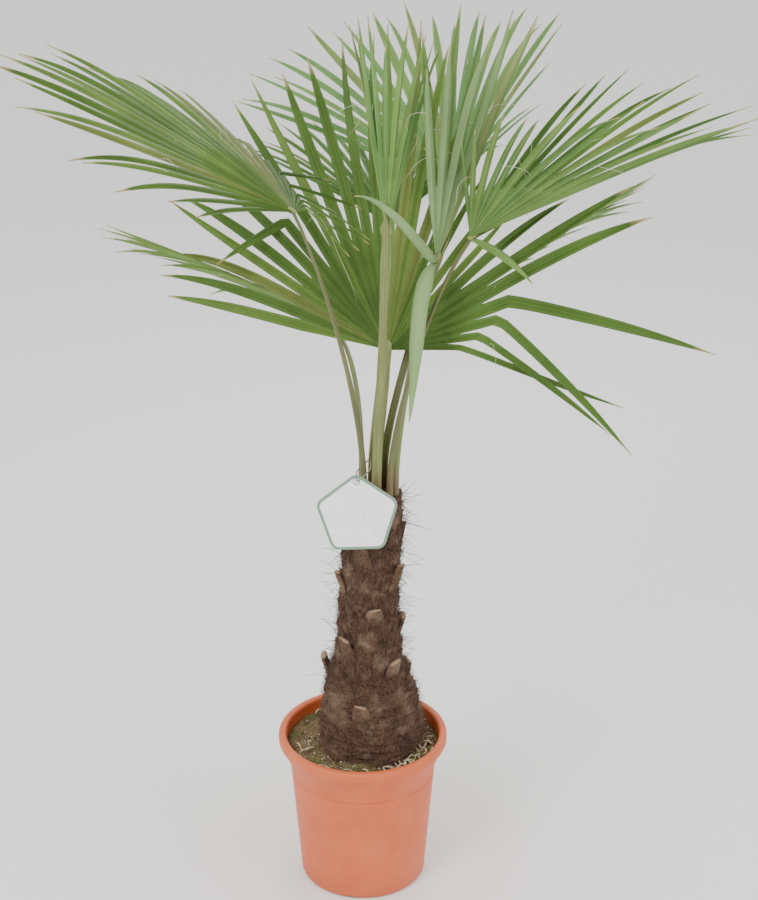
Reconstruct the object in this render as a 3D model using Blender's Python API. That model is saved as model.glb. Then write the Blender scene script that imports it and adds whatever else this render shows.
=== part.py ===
"""Windmill palm in a round nursery pot.

A short fibre-clad trunk stands in the filled pot and carries nine fan-shaped
leaves on long stalks, a closed young leaf and a blank hanging label. Metres,
+Z up, the pot's underside on Z = 0 and the pot's axis on the Z axis; the
crown's open side faces -Y.
"""
import math

import bmesh
import bpy
import numpy as np
from mathutils import Matrix, Vector

# Clearance kept between pieces that touch
GAP = 0.0003

# Pot: a round container with a rolled lip over a flared collar
POT_HEIGHT = 0.2845
POT_LIP_RADIUS = 0.150
POT_LIP_DEPTH = 0.020
POT_LIP_WIDTH = 0.014
POT_COLLAR_Z = 0.212
POT_COLLAR_RADIUS = 0.1285
POT_FOOT_RADIUS = 0.112
POT_WALL = 0.0035
POT_FLOOR = 0.006
POT_EDGE_ROUND = 0.008
POT_GROOVE = 0.0012
POT_GROOVE_WIDTH = 0.002
POT_LIP_ROUND = 0.004
POT_LIP_INSIDE_DROP = 0.012
POT_FLOOR_ROUND = 0.006
POT_FLOOR_STEP = 0.002
POT_FLARE_SHARES = (0.15, 0.40, 0.70, 1.0)
POT_FLARE_POWER = 1.6
POT_STEPS = 40
POT_NOTCH_COUNT = 4
POT_NOTCH_WIDTH = 0.026
POT_NOTCH_HEIGHT = 0.004
POT_NOTCH_DEPTH = 0.018
POT_NOTCH_TURN = math.radians(-102)

# Soil fills the pot to just under the lip
SOIL_TOP = 0.268
SOIL_FLAT_RADIUS = 0.110
SOIL_EDGE_DROP = 0.006
SOIL_WALL_GAP = 0.0006
SOIL_FOOT_GAP = 0.0015

# Trunk: height share and radius, from the root flare to the crown
TRUNK_TOP = 0.745
TRUNK_PROFILE = ((0.0, 0.093), (0.10, 0.088), (0.22, 0.082), (0.28, 0.075), (0.33, 0.063),
                 (0.41, 0.057), (0.55, 0.052), (0.75, 0.050), (0.92, 0.047), (1.0, 0.043))
TRUNK_FOOT_X = 0.018
TRUNK_WAIST_X = 0.011
TRUNK_HEAD_X = 0.026
TRUNK_SIDES = 24
TRUNK_RINGS = 16
TRUNK_LOBES = 5
TRUNK_LOBE_DEPTH = 0.03
TRUNK_LOBE_TWIST = 4.0

# Cut leaf bases that stand out of the trunk, set round it by a fixed turn
STUB_COUNT = 17
STUB_TURN = math.radians(137.5)
STUB_START = math.radians(-100)
STUB_LOW = 0.20
STUB_HIGH = 0.93
STUB_WIDTH = 0.034
STUB_LENGTH = 0.055
STUB_THICK = 0.009
STUB_PROUD = 0.0044
STUB_LEAN = 0.22
STUB_FOOT_WIDTH = 1.15
STUB_HEAD_WIDTH = 0.75
STUB_SIDES = 8

# Leaf stalks: they stand on the trunk's flat top
STALK_FOOT_RING = 0.0290
STALK_POINTS = 11
STALK_RUN = 0.018
STALK_BEVEL = 0.01
STALK_SIDES = 8
STALK_RISE = 0.75
STALK_LANDING = 0.9

# Leaf blades
BLADE_HALF_THICK = 0.0028
TIP_HALF_THICK = 0.0010
HUB_THICK_SLOPE = 0.06
PLEAT = 0.20
WEB_SHARE = 0.36
FREE_SHARES = (0.45, 0.80)
WEB_STEPS = (0.5, 1.0)
FREE_BEFORE_BREAK = 0.8
TAPER_POWER = 2.2
ANGLE_JITTER = math.radians(0.9)
LENGTH_JITTER = 0.045
HUB_STEM_BELOW = 0.012
HUB_STEM_ABOVE = 0.050
HUB_STEM_SIDES = 6
HUB_STEM_TIP = 0.35
LIMP_RINGS = 7
LIMP_SAG = 0.5
LIMP_WIDTHS = ((0.0, 0.35), (0.25, 1.0), (0.6, 0.9), (1.0, 0.12))

# Label hung on the front stalk
LABEL_RADIUS = 0.0730
LABEL_CORNER = 0.016
LABEL_THICK = 0.002
LABEL_CENTRE = (-0.007, -0.0605, 0.734)
LABEL_TILT = math.radians(-7.5)
LABEL_ROLL = math.radians(-1.5)
LABEL_HOLE_RADIUS = 0.0048
LABEL_HOLE_DROP = 0.0105
LABEL_CORNER_STEPS = 5
TIE_RADIUS = 0.0011
TIE_FRONT = 0.012
TIE_HALF_WIDTH = 0.017
TIE_STEPS = 28
TIE_SEAT_GAP = 0.0012
TIE_SIDES = 6


class Frond:
    """One fan leaf: where its blade starts, how it is turned and how its leaflets run.

    hub: the blade's root. heading, slope: the way the middle leaflet points, in
    degrees round from +X and up from level. roll: the blade's turn about it.
    length: the middle leaflet's. short: the share lost at each end of the fan.
    fold: how far each half folds up. spread: first and last leaflet's angle.
    odd: leaflet number: (share of its length, share at which it breaks, heading
    and slope after the break). limp: torn leaflets that hang from the hub: where
    the tip is, heading and slope at the hub, half width. foot: the stalk's place
    round the trunk's top. arrive: how far the stalk's end turns to the blade.
    """

    def __init__(self, name, hub, heading, slope, roll, length, short, fold, droop,
                 spread, count, foot, stalk, arrive, seed, odd=None, limp=(), foot_ring=STALK_FOOT_RING):
        self.name = name
        self.hub = np.array(hub)
        self.heading = heading
        self.slope = slope
        self.roll = roll
        self.length = length
        self.short = short
        self.fold = fold
        self.droop = droop
        self.spread = spread
        self.count = count
        self.foot = foot
        self.stalk = stalk
        self.arrive = arrive
        self.seed = seed
        self.odd = odd or {}
        self.limp = limp
        self.foot_ring = foot_ring


FRONDS = (
    Frond("a", (-0.100, -0.120, 1.273), 180, 32, 0, 0.51, (0.45, 0.45), (0, 0), 0.03, (-58, 110), 27,
          foot=222, stalk=(0.0065, 0.0040), arrive=0.2, seed=11,
          odd={19: (0.95, 0.60, 140, 0), 20: (0.9, 0.55, 100, -10), 21: (0.85, 0.52, 60, -15),
               22: (0.75, 0.48, 25, -20), 23: (0.68, 0.45, 0, -25), 24: (0.62, 0.42, -15, -28),
               25: (0.58, 0.40, -25, -30), 26: (0.55, 0.38, -35, -35)}),
    Frond("b", (0.151, 0.250, 1.211), 86, 37, 6, 0.46, (0.15, 0.15), (20, 20), 0.06, (-70, 48), 23,
          foot=70, stalk=(0.0075, 0.0050), arrive=0.3, seed=12,
          odd={19: (0.93, 1, 0, 0), 20: (0.75, 1, 0, 0), 21: (0.55, 1, 0, 0), 22: (0.55, 1, 0, 0)}),
    Frond("c", (0.040, -0.080, 1.226), -100, 88, 0, 0.33, (0.1, 0.1), (80, 80), 0.0, (-42, 42), 15,
          foot=268, stalk=(0.0085, 0.0062), arrive=0.6, seed=13),
    Frond("d", (0.173, -0.040, 1.208), 0, 27, -22, 0.47, (0.2, 0.5), (0, 80), 0.03, (-45, 72), 24,
          foot=-45, stalk=(0.0065, 0.0040), arrive=0.3, seed=14,
          limp=(((0.270, -0.100, 1.150), -40, 0, 0.009),)),
    Frond("e", (0.044, 0.060, 0.983), 80, 76, 18, 0.56, (0.17, 0.17), (0, 0), 0.03, (-80, 82), 28,
          foot=95, foot_ring=0.0145, stalk=(0.0072, 0.0055), arrive=0.7, seed=15,
          odd={6: (0.85, 0.68, 200, -20), 16: (0.85, 1, 0, 0), 17: (0.70, 1, 0, 0),
               18: (0.62, 1, 0, 0), 19: (0.58, 1, 0, 0), 20: (0.62, 1, 0, 0), 21: (0.80, 1, 0, 0),
               24: (1.12, 0.42, -10, -7), 25: (1.0, 0.42, -10, -40), 26: (0.90, 0.40, -10, -32),
               27: (0.92, 0.32, -5, -20)}),
    Frond("f", (0.121, 0.000, 1.156), 15, 68, 0, 0.42, (0.1, 0.1), (60, 60), 0.0, (-25, 34), 10,
          foot=-5, stalk=(0.0088, 0.0065), arrive=0.5, seed=16,
          limp=(((0.078, -0.085, 0.912), -115, 10, 0.014), ((-0.008, -0.145, 1.305), -92, 8, 0.008),
                ((0.084, -0.040, 1.055), -165, -10, 0.009))),
    Frond("g", (-0.058, 0.280, 0.963), 145, 10, -30, 0.46, (0.2, 0.2), (0, 0), 0.04, (-60, 60), 22,
          foot=150, stalk=(0.0070, 0.0045), arrive=0.4, seed=17),
    Frond("h", (0.145, 0.240, 1.011), 45, 12, 36, 0.46, (0.2, 0.2), (0, 0), 0.04, (-60, 60), 22,
          foot=35, stalk=(0.0070, 0.0045), arrive=0.4, seed=18),
    Frond("i", (0.050, 0.300, 1.130), 100, 18, 0, 0.40, (0.2, 0.2), (15, 15), 0.05, (-50, 50), 20,
          foot=109, stalk=(0.0070, 0.0045), arrive=0.4, seed=19),
)

# Closed young leaf in the middle of the crown
SPEAR_TIP = (0.045, 0.000, 1.300)
SPEAR_FOOT_RADIUS = 0.0065
SPEAR_MID_RADIUS = 0.0080
SPEAR_TIP_RADIUS = 0.0012
SPEAR_SHARES = (0.0, 0.04, 0.35, 0.62, 0.80, 0.92, 1.0)
SPEAR_NECK = 0.35
SPEAR_BELLY = 0.75

POT_COLOUR = (0.655, 0.254, 0.145)
SOIL_COLOUR = (0.105, 0.085, 0.045)
TRUNK_COLOUR = (0.112, 0.066, 0.043)
STALK_COLOUR = (0.200, 0.235, 0.080)
LEAF_COLOUR = (0.152, 0.235, 0.085)
LABEL_COLOUR = (0.86, 0.88, 0.86)
TIE_COLOUR = (0.30, 0.34, 0.28)


def clear_scene():
    for item in list(bpy.data.objects):
        bpy.data.objects.remove(item, do_unlink=True)


def plain_material(name, colour, roughness):
    made = bpy.data.materials.new(name)
    made.use_nodes = True
    shader = made.node_tree.nodes["Principled BSDF"]
    shader.inputs["Base Color"].default_value = (*colour, 1.0)
    shader.inputs["Roughness"].default_value = roughness
    shader.inputs["Metallic"].default_value = 0.0
    return made


def add_object(name, data, material):
    made = bpy.data.objects.new(name, data)
    bpy.context.scene.collection.objects.link(made)
    if material is not None:
        made.data.materials.append(material)
    return made


def mesh_from(name, points, faces):
    mesh = bpy.data.meshes.new(name)
    mesh.from_pydata([tuple(p) for p in points], [], faces)
    shape = bmesh.new()
    shape.from_mesh(mesh)
    bmesh.ops.recalc_face_normals(shape, faces=shape.faces)
    shape.to_mesh(mesh)
    shape.free()
    return mesh


def unit(vector):
    return vector / np.linalg.norm(vector)


def heading_vector(heading, slope):
    """The unit vector at a heading round from +X and a slope up from level, in degrees."""
    h = math.radians(heading)
    s = math.radians(slope)
    return np.array([math.cos(s) * math.cos(h), math.cos(s) * math.sin(h), math.sin(s)])


def loft(rings):
    """A closed mesh through rings of equal length, with a flat cap on the first and the last."""
    sides = len(rings[0])
    points = np.concatenate(rings)
    faces = [tuple(reversed(range(sides)))]
    for k in range(len(rings) - 1):
        low = k * sides
        for j in range(sides):
            nxt = (j + 1) % sides
            faces.append((low + j, low + nxt, low + sides + nxt, low + sides + j))
    last = (len(rings) - 1) * sides
    faces.append(tuple(range(last, last + sides)))
    return points, faces


def turned(name, profile, steps, material):
    """Turns a profile of (radius, height) round Z: up the inside, over and down the outside."""
    mesh = bpy.data.meshes.new(name)
    points = [(r, 0.0, z) for r, z in profile]
    mesh.from_pydata(points, [(k, k + 1) for k in range(len(points) - 1)], [])
    made = add_object(name, mesh, material)
    screw = made.modifiers.new("turn", "SCREW")
    screw.axis = "Z"
    screw.angle = math.tau
    screw.steps = steps
    screw.render_steps = steps
    screw.use_merge_vertices = True
    screw.merge_threshold = 0.00005
    screw.use_smooth_shade = True
    return made


def box_mesh(name, placings, size):
    """One mesh holding a box of the given size at each placing matrix."""
    shape = bmesh.new()
    for placing in placings:
        made = bmesh.ops.create_cube(shape, size=1.0)
        bmesh.ops.transform(shape, verts=made["verts"], matrix=placing @ Matrix.Diagonal((*size, 1.0)))
    mesh = bpy.data.meshes.new(name)
    shape.to_mesh(mesh)
    shape.free()
    return mesh


def cut_with(target, cutter, label):
    cutter.hide_render = True
    cutter.display_type = "WIRE"
    cut = target.modifiers.new(label, "BOOLEAN")
    cut.operation = "DIFFERENCE"
    cut.solver = "EXACT"
    cut.object = cutter


def fuse_collection(target, extras, label):
    """Joins the extra objects to the target by one union, applies it and removes them."""
    group = bpy.data.collections.new(label)
    bpy.context.scene.collection.children.link(group)
    for item in extras:
        bpy.context.scene.collection.objects.unlink(item)
        group.objects.link(item)
    union = target.modifiers.new(label, "BOOLEAN")
    union.operation = "UNION"
    union.solver = "EXACT"
    union.operand_type = "COLLECTION"
    union.collection = group
    view = bpy.context.evaluated_depsgraph_get()
    joined = bpy.data.meshes.new_from_object(target.evaluated_get(view))
    target.modifiers.remove(union)
    target.data = joined
    for item in list(group.objects):
        bpy.data.objects.remove(item, do_unlink=True)
    bpy.data.collections.remove(group)


def pot_outer_radius(z):
    """Straight taper from the foot to the collar, where the flare starts."""
    share = (z - POT_EDGE_ROUND) / (POT_COLLAR_Z - POT_EDGE_ROUND)
    return POT_FOOT_RADIUS + (POT_COLLAR_RADIUS - POT_FOOT_RADIUS) * share


def pot_flare():
    """The collar's outside, from the wall out to the lip's lower edge, as a rising curve."""
    lip_low = POT_HEIGHT - POT_LIP_DEPTH
    reach = POT_LIP_RADIUS - POT_LIP_ROUND - POT_COLLAR_RADIUS
    points = []
    for share in POT_FLARE_SHARES:
        z = POT_COLLAR_Z + (lip_low - POT_COLLAR_Z) * share
        points.append((POT_COLLAR_RADIUS + reach * share ** POT_FLARE_POWER, z))
    return points


def pot_floor_radius():
    """The inside's radius where the wall meets the rounded edge of the floor."""
    return pot_outer_radius(POT_EDGE_ROUND) - POT_WALL - POT_FLOOR_STEP


def build_pot(material):
    """Up the inside from the floor's middle, over the rolled lip and down to the underside."""
    inner_lip = POT_LIP_RADIUS - POT_LIP_WIDTH
    floor_radius = pot_floor_radius()
    groove_radius = POT_COLLAR_RADIUS - POT_GROOVE
    groove_low = POT_COLLAR_Z - 2 * POT_GROOVE_WIDTH
    profile = [(0.0, POT_FLOOR), (floor_radius - POT_FLOOR_ROUND, POT_FLOOR)]
    profile += [(floor_radius, POT_FLOOR + POT_FLOOR_ROUND), (POT_COLLAR_RADIUS - POT_WALL, POT_COLLAR_Z)]
    profile += [(r - POT_WALL, z) for r, z in pot_flare()[1:3]]
    profile += [(inner_lip, POT_HEIGHT - POT_LIP_INSIDE_DROP), (inner_lip, POT_HEIGHT - POT_LIP_ROUND)]
    profile += [(inner_lip + POT_LIP_ROUND, POT_HEIGHT), (POT_LIP_RADIUS - POT_LIP_ROUND, POT_HEIGHT)]
    profile += [(POT_LIP_RADIUS, POT_HEIGHT - POT_LIP_ROUND)]
    profile += [(POT_LIP_RADIUS, POT_HEIGHT - POT_LIP_DEPTH + POT_LIP_ROUND)]
    profile += list(reversed(pot_flare()))
    profile += [(groove_radius, POT_COLLAR_Z), (groove_radius, POT_COLLAR_Z - POT_GROOVE_WIDTH)]
    profile += [(pot_outer_radius(groove_low), groove_low)]
    profile += [(POT_FOOT_RADIUS, POT_EDGE_ROUND + POT_LIP_ROUND)]
    profile += [(POT_FOOT_RADIUS - 0.4 * POT_EDGE_ROUND, 0.25 * POT_EDGE_ROUND)]
    profile += [(POT_FOOT_RADIUS - POT_EDGE_ROUND, 0.0), (0.0, 0.0)]
    pot = turned("pot", profile, POT_STEPS, material)
    placings = []
    for k in range(POT_NOTCH_COUNT):
        turn = Matrix.Rotation(POT_NOTCH_TURN + math.tau * k / POT_NOTCH_COUNT, 4, "Z")
        placings.append(turn @ Matrix.Translation((POT_FOOT_RADIUS, 0.0, 0.0)))
    size = (2 * POT_NOTCH_DEPTH, POT_NOTCH_WIDTH, 2 * POT_NOTCH_HEIGHT)
    cutter = add_object("pot_notch_cutter", box_mesh("pot_notch_cutter", placings, size), None)
    cut_with(pot, cutter, "foot notches")
    return pot


def build_soil(material):
    """Fills the pot: down its outside from the surface's edge to the floor, clear of the wall."""
    clear = POT_WALL + GAP + SOIL_WALL_GAP
    low = POT_FLOOR + GAP
    foot = pot_floor_radius() - POT_FLOOR_ROUND - SOIL_FOOT_GAP
    edge_radius = POT_LIP_RADIUS - POT_LIP_WIDTH - GAP - SOIL_WALL_GAP
    profile = [(0.0, SOIL_TOP), (SOIL_FLAT_RADIUS, SOIL_TOP), (edge_radius, SOIL_TOP - SOIL_EDGE_DROP)]
    profile += [(r - clear, z) for r, z in reversed(pot_flare()[1:3])]
    profile += [(POT_COLLAR_RADIUS - clear, POT_COLLAR_Z)]
    profile += [(foot + POT_FLOOR_ROUND, low + POT_FLOOR_ROUND), (foot, low), (0.0, low)]
    return turned("soil", profile, POT_STEPS, material)


def trunk_centre(share):
    """The trunk's axis leans in to a waist and out again to the head, as one smooth bend."""
    ease = 3 * share ** 2 - 2 * share ** 3
    bow = (TRUNK_WAIST_X - 0.5 * (TRUNK_FOOT_X + TRUNK_HEAD_X)) * math.sin(math.pi * share)
    return TRUNK_FOOT_X + (TRUNK_HEAD_X - TRUNK_FOOT_X) * ease + bow


def trunk_radius(share):
    shares = [s for s, _ in TRUNK_PROFILE]
    radii = [r for _, r in TRUNK_PROFILE]
    return float(np.interp(share, shares, radii))


def trunk_ring(share):
    z = SOIL_TOP + GAP + (TRUNK_TOP - SOIL_TOP - GAP) * share
    angles = np.arange(TRUNK_SIDES) * math.tau / TRUNK_SIDES
    lobes = 1.0 + TRUNK_LOBE_DEPTH * np.cos(TRUNK_LOBES * angles + TRUNK_LOBE_TWIST * share)
    radius = trunk_radius(share) * lobes
    x = trunk_centre(share) + radius * np.cos(angles)
    y = radius * np.sin(angles)
    return np.stack([x, y, np.full(TRUNK_SIDES, z)], axis=1)


def build_stub(k):
    """A cut leaf base: a flat oval that rises out of the trunk and ends in a straight cut."""
    share = STUB_LOW + (STUB_HIGH - STUB_LOW) * k / (STUB_COUNT - 1)
    turn = STUB_START + STUB_TURN * k
    out = np.array([math.cos(turn), math.sin(turn), 0.0])
    side = np.array([-math.sin(turn), math.cos(turn), 0.0])
    up = unit(np.array([0.0, 0.0, 1.0]) + STUB_LEAN * out)
    z = SOIL_TOP + (TRUNK_TOP - SOIL_TOP) * share
    middle = np.array([trunk_centre(share), 0.0, z - STUB_LENGTH * 0.5])
    foot = middle + out * (trunk_radius(share) - STUB_THICK)
    head = foot + out * STUB_PROUD + up * STUB_LENGTH
    angles = (np.arange(STUB_SIDES) + 0.5) * math.tau / STUB_SIDES
    rings = []
    for centre, wide in ((foot, STUB_FOOT_WIDTH), (head, STUB_HEAD_WIDTH)):
        across = np.outer(np.cos(angles), side) * STUB_WIDTH * 0.5 * wide
        rings.append(centre + across + np.outer(np.sin(angles), out) * STUB_THICK * 0.5)
    points, faces = loft(rings)
    return add_object("stub_%02d" % k, mesh_from("stub_%02d" % k, points, faces), None)


def build_trunk(material):
    rings = [trunk_ring(k / (TRUNK_RINGS - 1)) for k in range(TRUNK_RINGS)]
    points, faces = loft(rings)
    trunk = add_object("trunk", mesh_from("trunk", points, faces), material)
    stubs = [build_stub(k) for k in range(STUB_COUNT)]
    fuse_collection(trunk, stubs, "leaf bases")
    return trunk


def blade_frame(frond):
    """Side, axis and normal of the blade; the normal is its upper face."""
    axis = heading_vector(frond.heading, frond.slope)
    h = math.radians(frond.heading)
    level = np.array([math.sin(h), -math.cos(h), 0.0])
    lifted = np.cross(level, axis)
    r = math.radians(frond.roll)
    side = level * math.cos(r) + lifted * math.sin(r)
    return side, axis, np.cross(side, axis)


def ray_at(frond, angle):
    """A leaflet's way out at an angle from the middle, its half of the fan folded up."""
    side, axis, normal = blade_frame(frond)
    low, high = (math.radians(a) for a in frond.spread)
    share = abs(angle / (low if angle < 0 else high))
    fold = math.radians(frond.fold[0 if angle < 0 else 1]) * math.sqrt(share)
    across = math.sin(angle)
    return across * math.cos(fold) * side + math.cos(angle) * axis + abs(across) * math.sin(fold) * normal


def turn_between(start, end, share):
    """The rotation that carries one unit vector a share of the way to another."""
    cross = np.cross(start, end)
    size = np.linalg.norm(cross)
    if size < 1e-6:
        return np.eye(3)
    angle = math.atan2(size, float(start @ end)) * share
    return np.array(Matrix.Rotation(angle, 3, Vector(cross / size)))


class Leaflet:
    """The straight middle line of a leaflet, with its break if it has one."""

    def __init__(self, frond, index, angle, length):
        self.hub = frond.hub
        self.droop = frond.droop
        self.way = ray_at(frond, angle)
        step = 0.01
        across = ray_at(frond, angle + step) - ray_at(frond, angle - step)
        self.across = unit(across - self.way * float(across @ self.way))
        self.up = np.cross(self.across, self.way)
        grow, bend, heading, slope = frond.odd.get(index, (1.0, 1.0, 0, 0))
        self.length = length * grow
        self.bend = bend
        self.after = heading_vector(heading, slope) if bend < 1.0 else self.way

    def point(self, share):
        """Straight to the break, straight on after it, and sagging with the square of the way out."""
        before = min(share, self.bend)
        rest = max(share - self.bend, 0.0)
        sag = np.array([0.0, 0.0, -self.droop * self.length * share * share])
        return self.hub + (self.way * before + self.after * rest) * self.length + sag

    def frame(self, share):
        turned_by = 0.0
        if self.bend < 1.0:
            turned_by = 0.5 if abs(share - self.bend) < 1e-6 else float(share > self.bend)
        turn = turn_between(self.way, self.after, turned_by)
        return turn @ self.across, turn @ self.up


def leaflets_of(frond):
    """The fan's leaflets at even angles with a small seeded play, shorter toward its ends."""
    play = np.random.default_rng(frond.seed)
    low, high = (math.radians(a) for a in frond.spread)
    angles = np.linspace(low, high, frond.count)
    angles[1:-1] += play.uniform(-1, 1, frond.count - 2) * ANGLE_JITTER
    stretch = 1.0 + play.uniform(-1, 1, frond.count) * LENGTH_JITTER
    made = []
    for k, angle in enumerate(angles):
        share = abs(angle / (low if angle < 0 else high))
        length = frond.length * (1 - frond.short[0 if angle < 0 else 1] * share ** 2)
        made.append(Leaflet(frond, k, angle, length * stretch[k]))
    return angles, made


def split_radius(first, second):
    """How far out two neighbours stay joined; one that breaks early is free before its break."""
    joined = WEB_SHARE * 0.5 * (first.length + second.length)
    for leaflet in (first, second):
        joined = min(joined, FREE_BEFORE_BREAK * leaflet.bend * leaflet.length)
    return joined


def free_shares(leaflet, start):
    """Where the free part has its cross-sections, as shares of the whole leaflet."""
    if leaflet.bend < 1.0:
        middle = 0.5 * (leaflet.bend + 1.0)
        return [leaflet.bend, middle]
    return [start + (1.0 - start) * s for s in FREE_SHARES]


def blade_mesh(frond):
    """A pleated sheet from the hub to every tip, cut between the leaflets, given a thickness.

    Each leaflet has a sunken middle line and two raised edges. Out to the split
    an edge is shared with the neighbour; past it each has its own, and the width
    falls to nothing at the tip. Two layers either side of the sheet and a rim
    between them close the solid.
    """
    angles, leaflets = leaflets_of(frond)
    count = len(leaflets)
    upper = []
    lower = []

    def add(point, up, half):
        upper.append(point + up * half)
        lower.append(point - up * half)
        return len(upper) - 1

    def web_half(radius):
        return min(BLADE_HALF_THICK, HUB_THICK_SLOPE * radius)

    hub_index = add(frond.hub, np.zeros(3), 0.0)
    gap_angle = np.diff(angles)

    def edge_chain(radius, way, up, spacing):
        chain = []
        for step in WEB_STEPS:
            r = radius * step
            sag = np.array([0.0, 0.0, -frond.droop * r * r / frond.length])
            chain.append(add(frond.hub + way * r + up * PLEAT * 0.5 * spacing * r + sag, up, web_half(r)))
        return chain

    edges = []
    radii = []
    for k in range(count + 1):
        if 0 < k < count:
            first, second = leaflets[k - 1], leaflets[k]
            radius = split_radius(first, second)
            way = unit(first.way + second.way)
            up = unit(first.up + second.up)
            spacing = gap_angle[k - 1]
        else:
            only = leaflets[0] if k == 0 else leaflets[-1]
            spacing = gap_angle[0] if k == 0 else gap_angle[-1]
            sign = -1.0 if k == 0 else 1.0
            radius = split_radius(only, only)
            way = unit(only.way + only.across * sign * 0.5 * spacing)
            up = only.up
        edges.append(edge_chain(radius, way, up, spacing))
        radii.append(radius)

    sheet = []
    outline = []
    for k, leaflet in enumerate(leaflets):
        left, right = edges[k], edges[k + 1]
        mean = 0.5 * (radii[k] + radii[k + 1])
        spacing = 0.5 * (gap_angle[max(k - 1, 0)] + gap_angle[min(k, count - 2)])
        middle = []
        for step in WEB_STEPS:
            r = mean * step
            share = r / leaflet.length
            sink = PLEAT * 0.5 * spacing * r
            middle.append(add(leaflet.point(share) - leaflet.up * sink, leaflet.up, web_half(r)))
        sheet.append((hub_index, left[0], middle[0]))
        sheet.append((hub_index, middle[0], right[0]))
        sheet.append((left[0], left[1], middle[1], middle[0]))
        sheet.append((middle[0], middle[1], right[1], right[0]))
        start = mean / leaflet.length
        half_width = 0.5 * spacing * mean
        last = (left[1], middle[1], right[1])
        run_left = [left[1]]
        run_right = [right[1]]
        for share in free_shares(leaflet, start):
            x = (share - start) / (1.0 - start)
            width = half_width * (1.0 - x ** TAPER_POWER)
            across, up = leaflet.frame(share)
            centre = leaflet.point(share)
            half = BLADE_HALF_THICK + (TIP_HALF_THICK - BLADE_HALF_THICK) * x
            lift = up * PLEAT * width
            here = (add(centre - across * width + lift, up, half), add(centre - lift, up, half),
                    add(centre + across * width + lift, up, half))
            sheet.append((last[0], here[0], here[1], last[1]))
            sheet.append((last[1], here[1], here[2], last[2]))
            run_left.append(here[0])
            run_right.append(here[2])
            last = here
        across, up = leaflet.frame(1.0)
        tip = add(leaflet.point(1.0), up, TIP_HALF_THICK)
        sheet.append((last[0], tip, last[1]))
        sheet.append((last[1], tip, last[2]))
        outline += run_left + [tip] + list(reversed(run_right[1:]))
    outline.append(edges[count][1])
    outline.append(edges[count][0])
    outline.append(hub_index)
    outline.append(edges[0][0])

    offset = len(upper)
    low = {k: (k + offset if k != hub_index else hub_index) for k in range(offset)}
    faces = list(sheet)
    faces += [tuple(low[v] for v in reversed(face)) for face in sheet]
    for first, second in zip(outline, outline[1:] + outline[:1]):
        rim = (first, low[first], low[second], second)
        faces.append(tuple(dict.fromkeys(rim)))
    points = np.array(upper + lower)
    return points, faces


def hub_direction(frond):
    """The stalk's last run: between the straight line from its foot and the blade's axis."""
    chord = unit(frond.hub - stalk_foot(frond))
    return unit(chord * (1.0 - frond.arrive) + heading_vector(frond.heading, frond.slope) * frond.arrive)


def ring_about(centre, way, radius, sides):
    """A ring of points square to a direction."""
    helper = np.array([0.0, 0.0, 1.0]) if abs(way[2]) < 0.9 else np.array([0.0, 1.0, 0.0])
    side = unit(np.cross(way, helper))
    other = np.cross(way, side)
    angles = np.arange(sides) * math.tau / sides
    return centre + radius * (np.outer(np.cos(angles), side) + np.outer(np.sin(angles), other))


def limp_strip(frond, tip, heading, slope, half_width):
    """A torn leaflet: a flat strip on one curve from the hub to its hanging tip."""
    chord = unit(np.array(tip) - frond.hub)
    start_way = heading_vector(heading, slope)
    end_way = unit(chord + np.array([0.0, 0.0, -LIMP_SAG]))
    path = smooth_path(frond.hub, start_way, np.array(tip), end_way, LIMP_RINGS)
    widths = half_width * np.interp(np.linspace(0.0, 1.0, LIMP_RINGS), *zip(*LIMP_WIDTHS))
    out = unit(np.cross(start_way, chord))
    rings = []
    for place, way, width in zip(path, np.gradient(path, axis=0), widths):
        across = unit(out - way * float(out @ way) / float(way @ way))
        up = unit(np.cross(across, way)) * BLADE_HALF_THICK
        left = place - across * width
        right = place + across * width
        rings.append(np.array([left - up, right - up, right + up, left + up]))
    points, faces = loft(rings)
    return add_object("limp", mesh_from("limp", points, faces), None)


def build_blade(frond, material):
    """The pleated sheet, with the end of the stalk under its hub and any torn leaflets fused on."""
    points, faces = blade_mesh(frond)
    name = "frond_" + frond.name
    blade = add_object(name, mesh_from(name, points, faces), material)
    below = hub_direction(frond)
    above = heading_vector(frond.heading, frond.slope)
    root = frond.hub - below * HUB_STEM_BELOW
    width = frond.stalk[1]
    side = ring_about(root, below, width, HUB_STEM_SIDES)
    turn = turn_between(below, unit(below + above), 1.0)
    middle = (side - root) @ turn.T + frond.hub
    turn = turn_between(below, above, 1.0)
    end = (side - root) @ turn.T * HUB_STEM_TIP + frond.hub + above * HUB_STEM_ABOVE
    points, faces = loft([side, middle, end])
    stem = add_object(name + "_stem", mesh_from(name + "_stem", points, faces), None)
    extras = [stem] + [limp_strip(frond, *entry) for entry in frond.limp]
    fuse_collection(blade, extras, name + "_union")
    return blade


def stalk_foot(frond):
    turn = math.radians(frond.foot)
    x = TRUNK_HEAD_X + frond.foot_ring * math.cos(turn)
    return np.array([x, frond.foot_ring * math.sin(turn), TRUNK_TOP + GAP])


def smooth_path(start, start_way, end, end_way, count):
    """Points on a cubic that leaves and arrives in the two given directions."""
    reach = np.linalg.norm(end - start)
    t = np.linspace(0.0, 1.0, count)[:, None]
    return ((2 * t ** 3 - 3 * t ** 2 + 1) * start + (t ** 3 - 2 * t ** 2 + t) * start_way * reach
            + (3 * t ** 2 - 2 * t ** 3) * end + (t ** 3 - t ** 2) * end_way * reach)


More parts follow.
